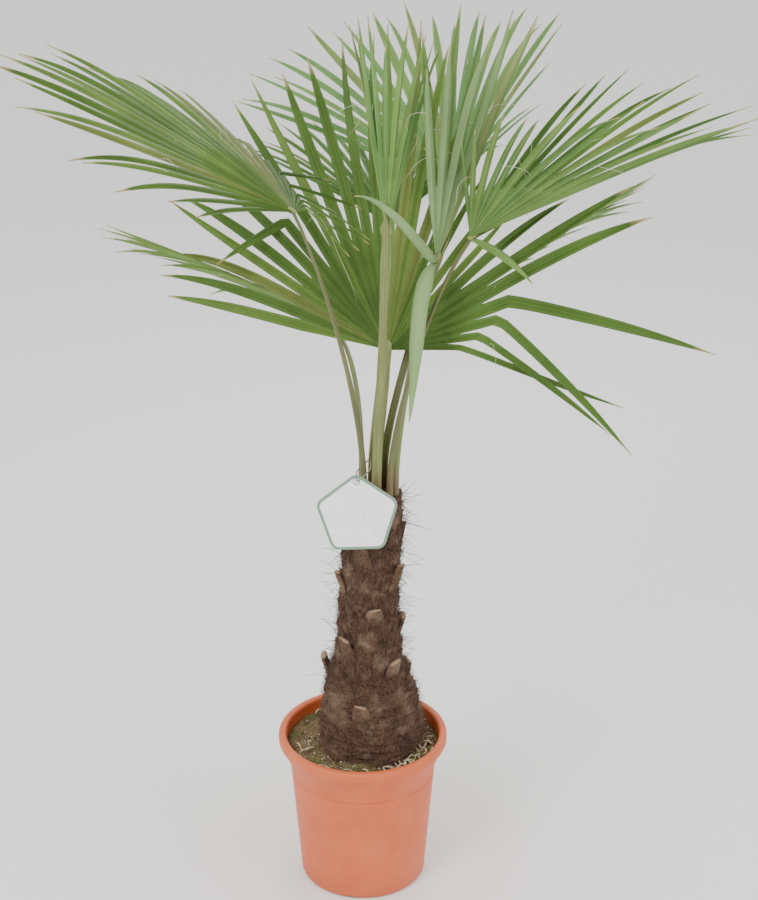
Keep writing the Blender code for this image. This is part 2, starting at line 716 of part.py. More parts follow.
def tube(name, points, radii, sides, material, closed=False):
    """A round tube along straight runs between points, with its ends capped flat."""
    curve = bpy.data.curves.new(name, "CURVE")
    curve.dimensions = "3D"
    curve.bevel_depth = STALK_BEVEL
    curve.bevel_resolution = (sides - 4) // 2
    curve.use_fill_caps = not closed
    spline = curve.splines.new("POLY")
    spline.points.add(len(points) - 1)
    for point, place, radius in zip(spline.points, points, radii):
        point.co = (*place, 1.0)
        point.radius = radius / STALK_BEVEL
    spline.use_cyclic_u = closed
    return add_object(name, curve, material)


def stalk_path(frond):
    """From the trunk's top straight up, over in one curve, and straight into the hub."""
    up = np.array([0.0, 0.0, 1.0])
    arrive = hub_direction(frond)
    foot = stalk_foot(frond)
    end = frond.hub - arrive * (HUB_STEM_BELOW + GAP)
    body = smooth_path(foot + up * STALK_RUN, up * STALK_RISE, end - arrive * STALK_RUN,
                       arrive * STALK_LANDING, STALK_POINTS - 2)
    return np.vstack([foot[None], body, end[None]])


def build_stalk(frond, material):
    points = stalk_path(frond)
    radii = np.linspace(frond.stalk[0], frond.stalk[1], len(points))
    return tube("stalk_" + frond.name, points, radii, STALK_SIDES, material)


def build_spear(material):
    """Straight from the trunk's top to its tip, thickest past the middle."""
    foot = np.array([TRUNK_HEAD_X, 0.0, TRUNK_TOP + GAP])
    shares = np.array(SPEAR_SHARES)
    points = foot + (np.array(SPEAR_TIP) - foot) * shares[:, None]
    points[1, :2] = foot[:2]
    radii = np.interp(shares, [0.0, SPEAR_NECK, SPEAR_BELLY, 1.0],
                      [SPEAR_FOOT_RADIUS, SPEAR_FOOT_RADIUS * 0.8, SPEAR_MID_RADIUS, SPEAR_TIP_RADIUS])
    return tube("spear", points, radii, STALK_SIDES, material)


def label_matrix():
    return (Matrix.Translation(LABEL_CENTRE) @ Matrix.Rotation(LABEL_TILT, 4, "X")
            @ Matrix.Rotation(LABEL_ROLL, 4, "Y"))


def label_outline():
    """Five equal sides with rounded corners: an arc about a point inset from each corner."""
    points = []
    inset = LABEL_RADIUS - LABEL_CORNER / math.cos(math.pi / 5)
    for k in range(5):
        corner = math.pi / 2 + math.tau * k / 5
        x, z = inset * math.cos(corner), inset * math.sin(corner)
        for j in range(LABEL_CORNER_STEPS):
            turn = corner + math.radians(36) * (2 * j / (LABEL_CORNER_STEPS - 1) - 1)
            points.append((x + LABEL_CORNER * math.cos(turn), z + LABEL_CORNER * math.sin(turn)))
    return points


def label_hole_height():
    return LABEL_RADIUS - LABEL_CORNER / math.cos(math.pi / 5) + LABEL_CORNER - LABEL_HOLE_DROP


def build_label(material):
    outline = label_outline()
    half = LABEL_THICK * 0.5
    rings = [np.array([(x, y, z) for x, z in outline]) for y in (-half, half)]
    points, faces = loft(rings)
    label = add_object("label", mesh_from("label", points, faces), material)
    label.matrix_world = label_matrix()
    shape = bmesh.new()
    bmesh.ops.create_cone(shape, cap_ends=True, segments=16, radius1=LABEL_HOLE_RADIUS,
                          radius2=LABEL_HOLE_RADIUS, depth=LABEL_THICK * 4)
    bmesh.ops.rotate(shape, verts=shape.verts, matrix=Matrix.Rotation(math.pi / 2, 3, "X"))
    mesh = bpy.data.meshes.new("label_hole_cutter")
    shape.to_mesh(mesh)
    shape.free()
    cutter = add_object("label_hole_cutter", mesh, None)
    cutter.matrix_world = label_matrix() @ Matrix.Translation((0.0, 0.0, label_hole_height()))
    cut_with(label, cutter, "hole")
    return label


def build_tie(material):
    """A squarish loop, tilted so it goes through the label's hole and round the front stalk."""
    hole = np.array(label_matrix() @ Vector((0.0, 0.0, label_hole_height())))
    stalk = FRONDS[0]
    path = stalk_path(stalk)
    x, y = (float(np.interp(hole[2] + TIE_HALF_WIDTH * 0.5, path[:, 2], path[:, k])) for k in (0, 1))
    front = hole[1] - TIE_FRONT
    back = y + stalk.stalk[0] + TIE_RADIUS + GAP
    half_long = 0.5 * (back - front)
    rise = unit(np.array([1.0, 0.0, 1.0]))
    seat = hole + np.array([0.0, 0.0, LABEL_HOLE_RADIUS - TIE_RADIUS - TIE_SEAT_GAP])
    turn = np.arange(TIE_STEPS) * math.tau / TIE_STEPS
    along = half_long * np.sign(np.cos(turn)) * np.abs(np.cos(turn)) ** 0.5
    up = TIE_HALF_WIDTH * np.sign(np.sin(turn)) * np.abs(np.sin(turn)) ** 0.5
    reach = (hole[1] - 0.5 * (front + back)) / half_long
    drop = TIE_HALF_WIDTH * (1.0 - reach ** 4) ** 0.25
    centre = seat + rise * drop
    centre[1] = 0.5 * (front + back)
    points = centre + np.outer(up, rise) + np.outer(along, np.array([0.0, 1.0, 0.0]))
    return tube("label_tie", points, np.full(TIE_STEPS, TIE_RADIUS), TIE_SIDES, material, closed=True)


def main():
    clear_scene()
    build_pot(plain_material("moulded pot plastic", POT_COLOUR, 0.55))
    build_soil(plain_material("peat soil", SOIL_COLOUR, 0.95))
    build_trunk(plain_material("trunk fibre", TRUNK_COLOUR, 0.95))
    for frond in FRONDS:
        build_stalk(frond, plain_material("leaf stalk " + frond.name, STALK_COLOUR, 0.45))
        build_blade(frond, plain_material("leaf blade " + frond.name, LEAF_COLOUR, 0.45))
    build_spear(plain_material("young leaf", LEAF_COLOUR, 0.45))
    build_label(plain_material("label card", LABEL_COLOUR, 0.4))
    build_tie(plain_material("label tie", TIE_COLOUR, 0.5))


main()
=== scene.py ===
"""The looks of a windmill palm in its pot: numpy surfaces in place of most of the frame's solids.

Metres, +Z up, the pot's underside on Z = 0 and the viewer at -Y. Points are made as whole arrays: a
grid of two parameters, or a section carried along a path. The label and its cord stay the frame's.
"""

import math
from collections import namedtuple

import bmesh
import bpy
import numpy as np
from mathutils import Matrix, Vector


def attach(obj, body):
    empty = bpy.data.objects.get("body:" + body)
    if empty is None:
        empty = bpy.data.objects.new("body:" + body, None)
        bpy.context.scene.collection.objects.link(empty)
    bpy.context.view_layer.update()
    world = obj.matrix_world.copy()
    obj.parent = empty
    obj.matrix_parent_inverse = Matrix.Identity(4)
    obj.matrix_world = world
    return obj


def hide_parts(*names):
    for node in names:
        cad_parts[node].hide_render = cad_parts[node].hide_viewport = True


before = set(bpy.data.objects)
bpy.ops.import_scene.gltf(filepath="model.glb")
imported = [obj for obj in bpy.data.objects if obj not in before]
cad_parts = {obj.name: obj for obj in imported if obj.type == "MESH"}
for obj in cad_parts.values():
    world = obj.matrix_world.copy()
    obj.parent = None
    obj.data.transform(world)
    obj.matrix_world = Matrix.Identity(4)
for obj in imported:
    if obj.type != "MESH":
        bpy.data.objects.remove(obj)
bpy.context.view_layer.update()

WELD = 1e-6
BODY = "root"
MM = 0.001
UP = np.array([0.0, 0.0, 1.0])

# Pot, as in the frame
POT_HEIGHT = 0.2845
POT_LIP_RADIUS = 0.150
POT_LIP_DEPTH = 0.020
POT_LIP_WIDTH = 0.014
POT_LIP_ROUND = 0.0055
POT_LIP_UNDER_ROUND = 0.005
POT_LIP_UNDER_RISE = 0.006
POT_LIP_INSIDE_DROP = 0.012
POT_COLLAR_Z = 0.212
POT_COLLAR_RADIUS = 0.1285
POT_FLARE_POWER = 1.6
POT_FLARE_INSET = 0.004
POT_GROOVE_DEPTH = 0.0014
POT_GROOVE_DROPS = (0.8 * MM, 2.2 * MM, 3.5 * MM)
POT_FOOT_RADIUS = 0.112
POT_WALL = 0.0035
POT_FLOOR = 0.006
POT_FLOOR_ROUND = 0.006
POT_FLOOR_INSET = 0.002
POT_INSIDE_START = 0.03
POT_OUTSIDE_END = 0.014
POT_EDGE_ROUND = 0.008
POT_FOOT_POINTS = 19
POT_NOTCH_COUNT = 4
POT_NOTCH_WIDTH = 0.026
POT_NOTCH_HEIGHT = 0.004
POT_NOTCH_DEPTH = 0.018
POT_NOTCH_TURN = math.radians(-102)
POT_SIDES = 240

# Soil: its level and reach, and the side of the square that its clods and moss are laid out on
SOIL_TOP = 0.268
SOIL_RADIUS = 0.1352
SOIL_SPAN = 0.30
SOIL_RINGS = 46
SOIL_SIDES = 170
SOIL_UNDERSIDE = ((SOIL_RADIUS, 0.022), (0.11, 0.060), (0.0, 0.060))
SOIL_EDGE_START = 0.105
SOIL_EDGE_WIDTH = 0.03
SOIL_EDGE_DROP = 0.004

# Clods: height, cells across the soil and seed of each lattice noise
CLODS = ((3.4 * MM, 22, 31), (2.0 * MM, 60, 32))

# Moss, in mm where a length
MOSS_COUNT = 9000
MOSS_RING = (0.088, 0.133)
MOSS_PATCHES = 9
MOSS_PATCH_LEAST = -0.05
MOSS_LENGTHS = (3.0, 8.0)
MOSS_RADII = (0.5, 1.0)
MOSS_TAPER = np.array([0.8, 1.0, 0.7, 0.0])
MOSS_ROOT_DEPTH = 0.8 * MM

# Roots on the soil, and in mm their spans, rises and sideways bows
ROOTS_BY_TRUNK = 30
ROOTS_ELSEWHERE = 18
ROOT_SIZES = ((12, 34), (3, 11), (-10, 10))
ROOT_RADII = (0.7, 1.5)
ROOT_DEPTH = 4 * MM
ROOT_REACH = 0.130
ROOT_ROWS = 22

# Chips: name, count, and smallest and largest in mm
CHIPS = (("chips_pale", 240, (0.9, 2.9)), ("chips_bark", 420, (1.2, 4.2)))
CHIP_RING = (0.090, 0.131)

# Trunk, with its profile as height share and radius
TRUNK_TOP = 0.745
TRUNK_PROFILE = ((0.0, 0.093), (0.10, 0.088), (0.22, 0.082), (0.28, 0.075), (0.33, 0.063),
                 (0.41, 0.057), (0.55, 0.052), (0.75, 0.050), (0.92, 0.047), (1.0, 0.043))
TRUNK_SINK = 0.006
TRUNK_FOOT_X = 0.018
TRUNK_WAIST_X = 0.011
TRUNK_HEAD_X = 0.026
TRUNK_LOBES = 5
TRUNK_LOBE_DEPTH = 0.03
TRUNK_LOBE_TWIST = 4.0
TRUNK_WRAPS = 11.0
TRUNK_WRAP_DEPTH = 5.0
TRUNK_WRAP_SINK = 2.0
TRUNK_SIDES = 230
TRUNK_ROWS = 300

# Layers of the trunk's relief: depth in mm, cells round, cells up and seed of each lattice noise
STRAND_LAYERS = ((1.7, 74, 20, 72), (1.2, 110, 60, 73))
LEVEL_LAYERS = ((1.8, 12, 150, 74), (1.2, 34, 140, 75))
LUMP_LAYERS = ((2.2, 11, 16, 76),)

# Loose fibres: name, count, height shares, lengths in mm, and how far they stand off the trunk
HAIRS = (("trunk_hair_coat", 5200, (0.03, 0.99), (8, 26), 0.42),
         ("trunk_hair_stray", 620, (0.30, 1.0), (18, 62), 0.9),
         ("trunk_hair_foot", 1500, (0.0, 0.34), (14, 44), 0.22))
HAIR_RADIUS = 0.42 * MM
HAIR_TAPER = np.array([1.0, 1.0, 0.9, 0.7, 0.45, 0.0])
HAIR_REACH = 0.128
HAIR_RISE = (-0.5, 1.0)
HAIR_STAND = (0.3, 1.0)
HAIR_SWAY = (-0.8, 0.8)
HAIR_CURL = (0.1, 0.6)
HAIR_SAG = (0, 0.25)
HAIR_WIDTHS = (0.6, 1.2)

# A way that no hair or thread runs along, which its rings are started from
HAIR_ACROSS = np.array([0.31, 0.22, 0.93])

# Cut leaf bases
STUB_COUNT = 17
STUB_TURN = math.radians(137.5)
STUB_START = math.radians(-100)
STUB_LOW = 0.20
STUB_HIGH = 0.93
STUB_WIDTH = 0.034
STUB_LENGTH = 0.055
STUB_THICK = 0.009
STUB_PROUD = 0.0044
STUB_LEAN = 0.22
STUB_FOOT_SHARE = 1.15
STUB_NARROWING = 0.40
STUB_HALF_SHARE = 0.62
STUB_SLANT = 0.005
STUB_FACE_SHARES = (0.84, 0.80)
STUB_ROWS = 12
STUB_SIDES = 22

# Stalks
STALK_FOOT_RING = 0.0290
STALK_FOOT_SINK = 0.012
STALK_RUN = 0.018
STALK_RISE = 0.75
STALK_LANDING = 0.9
STALK_ROWS = 44
STALK_SIDES = 20
HUB_STEM_BELOW = 0.012
HUB_STEM_ABOVE = 0.055
HUB_STEM_SHARES = (0.0, 0.12, 0.3, 0.55, 0.8, 1.0)
HUB_STEM_TAPER = (1.05, 1.0, 0.8, 0.55, 0.33, 0.12)
STALK_TOP = 0.42
STALK_HOLLOW = 0.20
STALK_BACK = 0.92
CREST_SIZE = 1.5
CREST_LENGTH = 1.5
CREST_HEIGHT = 0.42

# Blades: the rule of the frame's own fans, with a deeper fold and a thinner leaf
PLEAT = 0.32
BOW_SHARE = 0.20
WEB_SHARE = 0.36
FREE_BEFORE_BREAK = 0.8
TAPER_POWER = 3.6
LEAST_HALF_WIDTH = 1.0 * MM
ANGLE_JITTER = math.radians(0.9)
LENGTH_JITTER = 0.045
WEB_ROWS = 8
FREE_ROWS = 20
LEAF_COLUMNS = 5
LEAF_THICK = 0.7 * MM
LIMP_SAG = 0.5
LIMP_FOLD = 0.45
LIMP_SHARES = (0.0, 0.25, 0.6, 1.0)
LIMP_WIDTHS = (0.35, 1.0, 0.9, 0.06)

# Free tips: shares of the leaflet's length or of its free run, and the twist in radians
TIP_SWING = 0.020
TIP_RISE = 0.022
TIP_FALL = 0.012
TIP_HANG = 0.07
TIP_HANG_ODDS = 0.6
TIP_TWIST = 0.5
BREAK_EASE = 0.08
WEB_HOLD = 0.25
CLEFT_START = 0.90
CLEFT_DEPTH = 0.035

# Threads that fray between leaflets, in mm where a length
THREADS_PER_FAN = 7
THREAD_ROWS = 16
THREAD_LENGTHS = (40, 120)
THREAD_RADIUS = 0.30
THREAD_STARTS = (0.36, 0.62)
THREAD_SAG = (0.4, 1.0)
THREAD_WAVE = 3
THREAD_WAVE_TURN = 9

# Closed young leaf
SPEAR_TIP = (0.045, 0.000, 1.300)
SPEAR_SHARES = (0.0, 0.35, 0.75, 0.9, 1.0)
SPEAR_RADII = (6.5 * MM, 5.2 * MM, 8.0 * MM, 4.5 * MM, 0.4 * MM)
SPEAR_PLEATS = 8
SPEAR_PLEAT_DEPTH = 0.14
SPEAR_FLATNESS = 0.7
SPEAR_ROWS = 40
SPEAR_SIDES = 48

# Label
LABEL_RADIUS = 0.0730
LABEL_CORNER = 0.016
LABEL_CORNERS = 5
LABEL_CORNER_RING = LABEL_RADIUS - LABEL_CORNER / math.cos(math.pi / LABEL_CORNERS)
LABEL_THICK = 0.002
LABEL_CENTRE = (-0.007, -0.0605, 0.734)
LABEL_TILT = math.radians(-7.5)
LABEL_ROLL = math.radians(-1.5)
LABEL_HOLE_RADIUS = 0.0048
LABEL_HOLE_DROP = 0.0105

FLOOR_HALF = 12.0
FLOOR_DROP = 0.5 * MM

# Camera: fitted to the pot's rim and foot in the photo, which looks 23 degrees down
CAMERA_PLACE = (0.029, -3.0, 2.10)
CAMERA_PITCH = 67.0
FOCAL_PIXELS = 1943
FRAME_HEIGHT = 900
SENSOR_HEIGHT = 36.0

# Lights: name, place, height of the point on the plant's axis they face, size and power
LIGHTS = (("key", (-1.6, -2.2, 3.2), 0.8, 1.5, 78.0), ("fill", (2.4, -1.6, 1.8), 0.8, 2.2, 26.0),
          ("rim", (0.6, 2.4, 2.8), 1.0, 1.8, 34.0))
WORLD_STRENGTH = 1.25

# One fan leaf, by the same words as in the frame's own source
Frond = namedtuple("Frond", "name hub heading slope roll length short fold droop spread count foot stalk "
                   "arrive seed odd limp foot_ring", defaults=({}, (), STALK_FOOT_RING))
FRONDS = (
    Frond("a", (-0.100, -0.120, 1.273), 180, 32, 0, 0.51, (0.45, 0.45), (0, 0), 0.03, (-58, 110), 27,
          foot=222, stalk=(0.0065, 0.0040), arrive=0.2, seed=11,
          odd={19: (0.95, 0.60, 140, 0), 20: (0.9, 0.55, 100, -10), 21: (0.85, 0.52, 60, -15),
               22: (0.75, 0.48, 25, -20), 23: (0.68, 0.45, 0, -25), 24: (0.62, 0.42, -15, -28),
               25: (0.58, 0.40, -25, -30), 26: (0.55, 0.38, -35, -35)}),
    Frond("b", (0.151, 0.250, 1.211), 86, 37, 6, 0.46, (0.15, 0.15), (20, 20), 0.06, (-70, 48), 23,
          foot=70, stalk=(0.0075, 0.0050), arrive=0.3, seed=12,
          odd={19: (0.93, 1, 0, 0), 20: (0.75, 1, 0, 0), 21: (0.55, 1, 0, 0), 22: (0.55, 1, 0, 0)}),
    Frond("c", (0.040, -0.080, 1.226), -100, 88, 0, 0.33, (0.1, 0.1), (80, 80), 0.0, (-42, 42), 15,
          foot=268, stalk=(0.0085, 0.0062), arrive=0.6, seed=13),
    Frond("d", (0.173, -0.040, 1.208), 0, 27, -22, 0.47, (0.2, 0.5), (0, 80), 0.03, (-45, 72), 24,
          foot=-45, stalk=(0.0065, 0.0040), arrive=0.3, seed=14,
          limp=(((0.270, -0.100, 1.150), -40, 0, 0.009),)),
    Frond("e", (0.044, 0.060, 0.983), 80, 76, 18, 0.56, (0.17, 0.17), (0, 0), 0.03, (-80, 82), 28,
          foot=95, foot_ring=0.0145, stalk=(0.0072, 0.0055), arrive=0.7, seed=15,
          odd={6: (0.85, 0.68, 200, -20), 16: (0.85, 1, 0, 0), 17: (0.70, 1, 0, 0),
               18: (0.62, 1, 0, 0), 19: (0.58, 1, 0, 0), 20: (0.62, 1, 0, 0), 21: (0.80, 1, 0, 0),
               24: (1.12, 0.42, -10, -7), 25: (1.0, 0.42, -10, -40), 26: (0.90, 0.40, -10, -32),
               27: (0.92, 0.32, -5, -20)}),
    Frond("f", (0.121, 0.000, 1.156), 15, 68, 0, 0.42, (0.1, 0.1), (60, 60), 0.0, (-25, 34), 10,
          foot=-5, stalk=(0.0088, 0.0065), arrive=0.5, seed=16,
          limp=(((0.078, -0.085, 0.912), -115, 10, 0.014), ((-0.008, -0.145, 1.305), -92, 8, 0.008),
                ((0.084, -0.040, 1.055), -165, -10, 0.009))),
    Frond("g", (-0.058, 0.280, 0.963), 145, 10, -30, 0.46, (0.2, 0.2), (0, 0), 0.04, (-60, 60), 22,
          foot=150, stalk=(0.0070, 0.0045), arrive=0.4, seed=17),
    Frond("h", (0.145, 0.240, 1.011), 45, 12, 36, 0.46, (0.2, 0.2), (0, 0), 0.04, (-60, 60), 22,
          foot=35, stalk=(0.0070, 0.0045), arrive=0.4, seed=18),
    Frond("i", (0.050, 0.300, 1.130), 100, 18, 0, 0.40, (0.2, 0.2), (15, 15), 0.05, (-50, 50), 20,
          foot=109, stalk=(0.0070, 0.0045), arrive=0.4, seed=19),
)

# Each fan's green, upper face and underside. Fan b's lighter, greyer tints are painted sky sheen on its
# upturned blade
LEAF_TINTS = {"a": ("#43601e", "#5a783c"), "b": ("#628a50", "#82a66c"), "c": ("#4c7436", "#5f8845"),
              "d": ("#3a5c1a", "#56793a"), "e": ("#4c682c", "#69864e"), "f": ("#5c7d46", "#829e6a"),
              "g": ("#42661f", "#628442"), "h": ("#466a24", "#668848"), "i": ("#4a7030", "#6a8e4e")}
LEAF_PALE = "#6a8a40"
# The bluish pale goes to fans b and f; on fan b it is part of the painted sky sheen
LEAF_PALE_BLUISH = "#7f9f56"
LEAF_PALE_UNDER = "#8aa566"
LEAF_TIP = "#b8a472"

# Tones dealt out leaflet by leaflet: name, the colour they lean toward and how far, and their odds
LEAF_TONES = (("", "#ffffff", 0.0, 0.59),
              ("young_", "#86a04c", 0.32, 0.36),
              ("drying_", "#a39458", 0.36, 0.05))

# Stalk colours: the slim olive ones and the thick green ones, each with its darker streak
SLIM_STALKS = "abd"
STALK_TINTS = {True: ("#6c6e42", "#4c4e28"), False: ("#7f854c", "#5f6836")}
STALK_FOOT_TINT = "#6a5436"

# Mottled finishes: colour, other colour, grain in mm, roughness, relief in mm, specular level.
# Where a tuft, root, thread or the card is finer than its grain, the pattern is drawn coarser.
MOTTLED = {
    # Damp crumbled peat: dark, rough and without shine
    "moist_peat": ("#7f6e50", "#46392a", 4.0, 0.95, 2.0, 0.15),
    # Living moss: soft yellow green, mottled with a darker green that is painted shade of the cushion's
    # depths
    "cushion_moss_green": ("#868f4e", "#626e38", 5.0, 0.9, 0.4, 0.2),
    # Dry moss: the same tufts gone straw brown
    "cushion_moss_brown": ("#998a62", "#6f6144", 5.0, 0.9, 0.4, 0.2),
    # Bark of young roots: pale tan, a little smoother than the soil
    "pale_root_skin": ("#cbb99c", "#a18e70", 4.0, 0.8, 0.3, 0.3),
    # Mineral grit: light specks
    "chips_pale_surface": ("#ddd4c0", "#b9ad94", 2.0, 0.85, 0.2, 0.2),
    # Shredded bark: dark brown flakes
    "chips_bark_surface": ("#6b5742", "#483828", 2.0, 0.85, 0.2, 0.2),
    # Sawn leaf base: dry, pale, with darker fibre ends
    "cut_leaf_base_pith": ("#b0947a", "#7d6550", 1.5, 0.85, 0.3, 0.2),
    # Crest at the hub: smooth green skin with brown flecks
    "leaf_crest_skin": ("#8c9a5c", "#6b6a3a", 4.0, 0.5, 0.2, 0.4),
    # Leaf-edge threads: thin, dry and nearly white
    "frayed_leaf_thread": ("#d9d6bd", "#b8ad86", 6.0, 0.7, 0.1, 0.4),
    # Printed border on the card: flat grey green with a slight gloss
    "pale_green_printed_border": ("#7f9a86", "#748c7a", 3.0, 0.45, 0.05, 0.4),
    # Cut polystyrene sheet: smooth white with a soft gloss
    "white_polystyrene_card": ("#fafcfa", "#f2f4f2", 30.0, 0.35, 0.05, 0.5),
    # Hemp cord: matt grey green, mottled at the width of its strands
    "twisted_hemp_cord": ("#8f8c74", "#5f5d49", 1.2, 0.8, 0.5, 0.4),
}

# Palm fibre finishes: colour, dark gaps, frayed light ends, thread spacing in mm, roughness
# The dark gaps are painted shade, laid where the thread relief sinks
FIBRES = {
    # Woven leaf sheaths on the trunk: a dull brown mat, with painted shade between its threads
    "matted_palm_fibre": ("#6c5243", "#2f2118", "#8a7461", 2.6, 0.95),
    # Split, weathered leaf base: harder and a shade lighter than the mat
    "split_leaf_base": ("#775c49", "#3d2d22", "#937e69", 1.6, 0.95),
    # Loose hairs: dry single threads, drawn coarser than life so that one differs from the next
    "dry_palm_hair_coat": ("#73594a", "#3f2e23", "#96806d", 6.0, 0.8),
    "dry_palm_hair_stray": ("#6b5241", "#403025", "#8f7a66", 6.0, 0.8),
    "dry_palm_hair_foot": ("#765b48", "#453226", "#987f6a", 6.0, 0.8),
}


def linear(colour):
    """sRGB hex turned linear, with full alpha."""
    parts = [int(colour[k:k + 2], 16) / 255 for k in (1, 3, 5)]
    return tuple(c / 12.92 if c <= 0.04045 else ((c + 0.055) / 1.055) ** 2.4 for c in parts) + (1.0,)


def blend(one, other, share):
    """The hex colour that lies so far from one to the other."""
    pairs = [(int(one[k:k + 2], 16), int(other[k:k + 2], 16)) for k in (1, 3, 5)]
    return "#" + "".join(f"{round(a + (b - a) * share):02x}" for a, b in pairs)


def add_node(tree, kind, inputs=None, out=0, **settings):
    """Adds one shader node with its settings and gives one output; a socket among inputs is linked."""
    made = tree.nodes.new("ShaderNode" + kind)
    for key, value in settings.items():
        setattr(made, key, value)
    for key, value in (inputs or {}).items():
        if isinstance(value, bpy.types.NodeSocket):
            tree.links.new(value, made.inputs[key])
        else:
            made.inputs[key].default_value = value
    return made.outputs[out]


def start_material(name, colour, roughness, ior=1.45, specular=0.5):
    """A named material with its plain values on its shader's own sockets."""
    made = bpy.data.materials.new(name)
    made.use_nodes = True
    shader = made.node_tree.nodes["Principled BSDF"]
    shader.inputs["Base Color"].default_value = linear(colour)
    shader.inputs["Roughness"].default_value = roughness
    shader.inputs["IOR"].default_value = ior
    shader.inputs["Specular IOR Level"].default_value = specular
    return made, made.node_tree


def finish_material(made, colour, height, strength, depth_mm):
    """Links a worked-out colour, and a relief so many millimetres deep, to the shader."""
    tree = made.node_tree
    shader = tree.nodes["Principled BSDF"]
    relief = add_node(tree, "Bump", {"Height": height, "Strength": strength, "Distance": depth_mm * MM})
    tree.links.new(colour, shader.inputs["Base Color"])
    tree.links.new(relief, shader.inputs["Normal"])
    return made


def mix_by(tree, value, span, shares, one, other):
    """Mixes two colours: while a value crosses its span, the other's share runs between its ends."""
    share = add_node(tree, "MapRange", dict(enumerate((value, *span, *shares))))
    return add_node(tree, "Mix", {0: share, 6: one, 7: other}, 2, data_type="RGBA")


def mix_by_noise(tree, place, scale, detail, roughness, span, most, one, other):
    """A noise over a place, and two colours mixed by it up to the other's greatest share."""
    noise = add_node(tree, "TexNoise",
                     {"Vector": place, "Scale": scale, "Detail": detail, "Roughness": roughness})
    return noise, mix_by(tree, noise, span, (0.0, most), one, other)


def leaf_material(name, colour, pale, tip, roughness):
    """Living fan-palm leaf: thick and waxy, with fine lengthwise veins and a paler fold line.

    The eye gets a satin sheen, lengthwise streaks, a light midrib and dry tan tips. The veins are
    about 1 mm apart, in the leaflet's own UV, where U runs across and V to the tip.
    """
    made, tree = start_material(name, colour, roughness, specular=0.18)
    colour, pale, tip = linear(colour), linear(pale), linear(tip)
    darker = tuple(c * 0.62 for c in colour[:3]) + (1.0,)
    uv = add_node(tree, "TexCoord", out="UV")
    place = add_node(tree, "TexCoord", out="Object")
    lengthwise = add_node(tree, "Mapping", {0: uv, "Scale": (26.0, 2.0, 1.0)})
    streaks, shade = mix_by_noise(tree, lengthwise, 1.0, 3.0, 0.6, (0.35, 0.75), 0.55, colour, pale)
    patches, shade = mix_by_noise(tree, place, 9.0, 3.0, 0.55, (0.35, 0.66), 0.65, shade, darker)
    across = add_node(tree, "SeparateXYZ", {0: uv}, 0)
    along = add_node(tree, "SeparateXYZ", {0: uv}, 1)
    from_rib = add_node(tree, "Math", {0: across, 1: 0.5}, operation="SUBTRACT")
    rib_gap = add_node(tree, "Math", {0: from_rib}, operation="ABSOLUTE")
    shade = mix_by(tree, rib_gap, (0.0, 0.07), (0.65, 0.0), shade, pale)
    reach = add_node(tree, "Math", {0: patches, 1: 0.10, 2: along}, operation="MULTIPLY_ADD")
    shade = mix_by(tree, reach, (0.975, 1.035), (0.0, 0.85), shade, tip)
    return finish_material(made, shade, streaks, 0.35, 0.6)


def stalk_material(name, colour, dark):
    """Palm leaf stalk: smooth hard skin with lengthwise streaks, browner where it leaves the trunk.

    Its UV runs once round in U and from foot to hub in V. Streaks are about 2 mm apart.
    """
    made, tree = start_material(name, colour, 0.42)
    uv = add_node(tree, "TexCoord", out="UV")
    lengthwise = add_node(tree, "Mapping", {0: uv, "Scale": (16.0, 5.0, 1.0)})
    streaks, shade = mix_by_noise(tree, lengthwise, 1.0, 4.0, 0.6, (0.35, 0.7), 1.0,
                                  linear(colour), linear(dark))
    along = add_node(tree, "SeparateXYZ", {0: uv}, 1)
    shade = mix_by(tree, along, (0.02, 0.16), (0.9, 0.0), shade, linear(STALK_FOOT_TINT))
    return finish_material(made, shade, streaks, 0.3, 0.4)


def fibre_material(name):
    """Palm fibre: coarse dry threads that run upward, with painted shade in the gaps, paler where they fray.
    """
    colour, dark, light, spacing, roughness = FIBRES[name]
    made, tree = start_material(name, colour, roughness, ior=1.5, specular=0.2)
    place = add_node(tree, "TexCoord", out="Object")
    threads = add_node(tree, "Mapping", {0: place, "Scale": (1.0, 1.0, 0.22)})
    # The dark colour is painted shade: the noise that sinks the relief between threads darkens it there
    fine, shade = mix_by_noise(tree, threads, 1.0 / (spacing * MM), 6.0, 0.7, (0.38, 0.66), 1.0,
                               linear(dark), linear(colour))
    shade = mix_by_noise(tree, place, 26.0, 4.0, 0.6, (0.50, 0.72), 0.75, shade, linear(light))[1]
    return finish_material(made, shade, fine, 0.8, 2.0)


def mottled_material(name):
    """A surface mottled between two colours at one real grain size, with that grain's relief."""
    colour, other, grain_mm, roughness, relief_mm, specular = MOTTLED[name]
    made, tree = start_material(name, colour, roughness, ior=1.46, specular=specular)
    place = add_node(tree, "TexCoord", out="Object")
    grain, shade = mix_by_noise(tree, place, 1.0 / (grain_mm * MM), 5.0, 0.65, (0.35, 0.7), 1.0,
                                linear(colour), linear(other))
    return finish_material(made, shade, grain, 0.5, relief_mm)


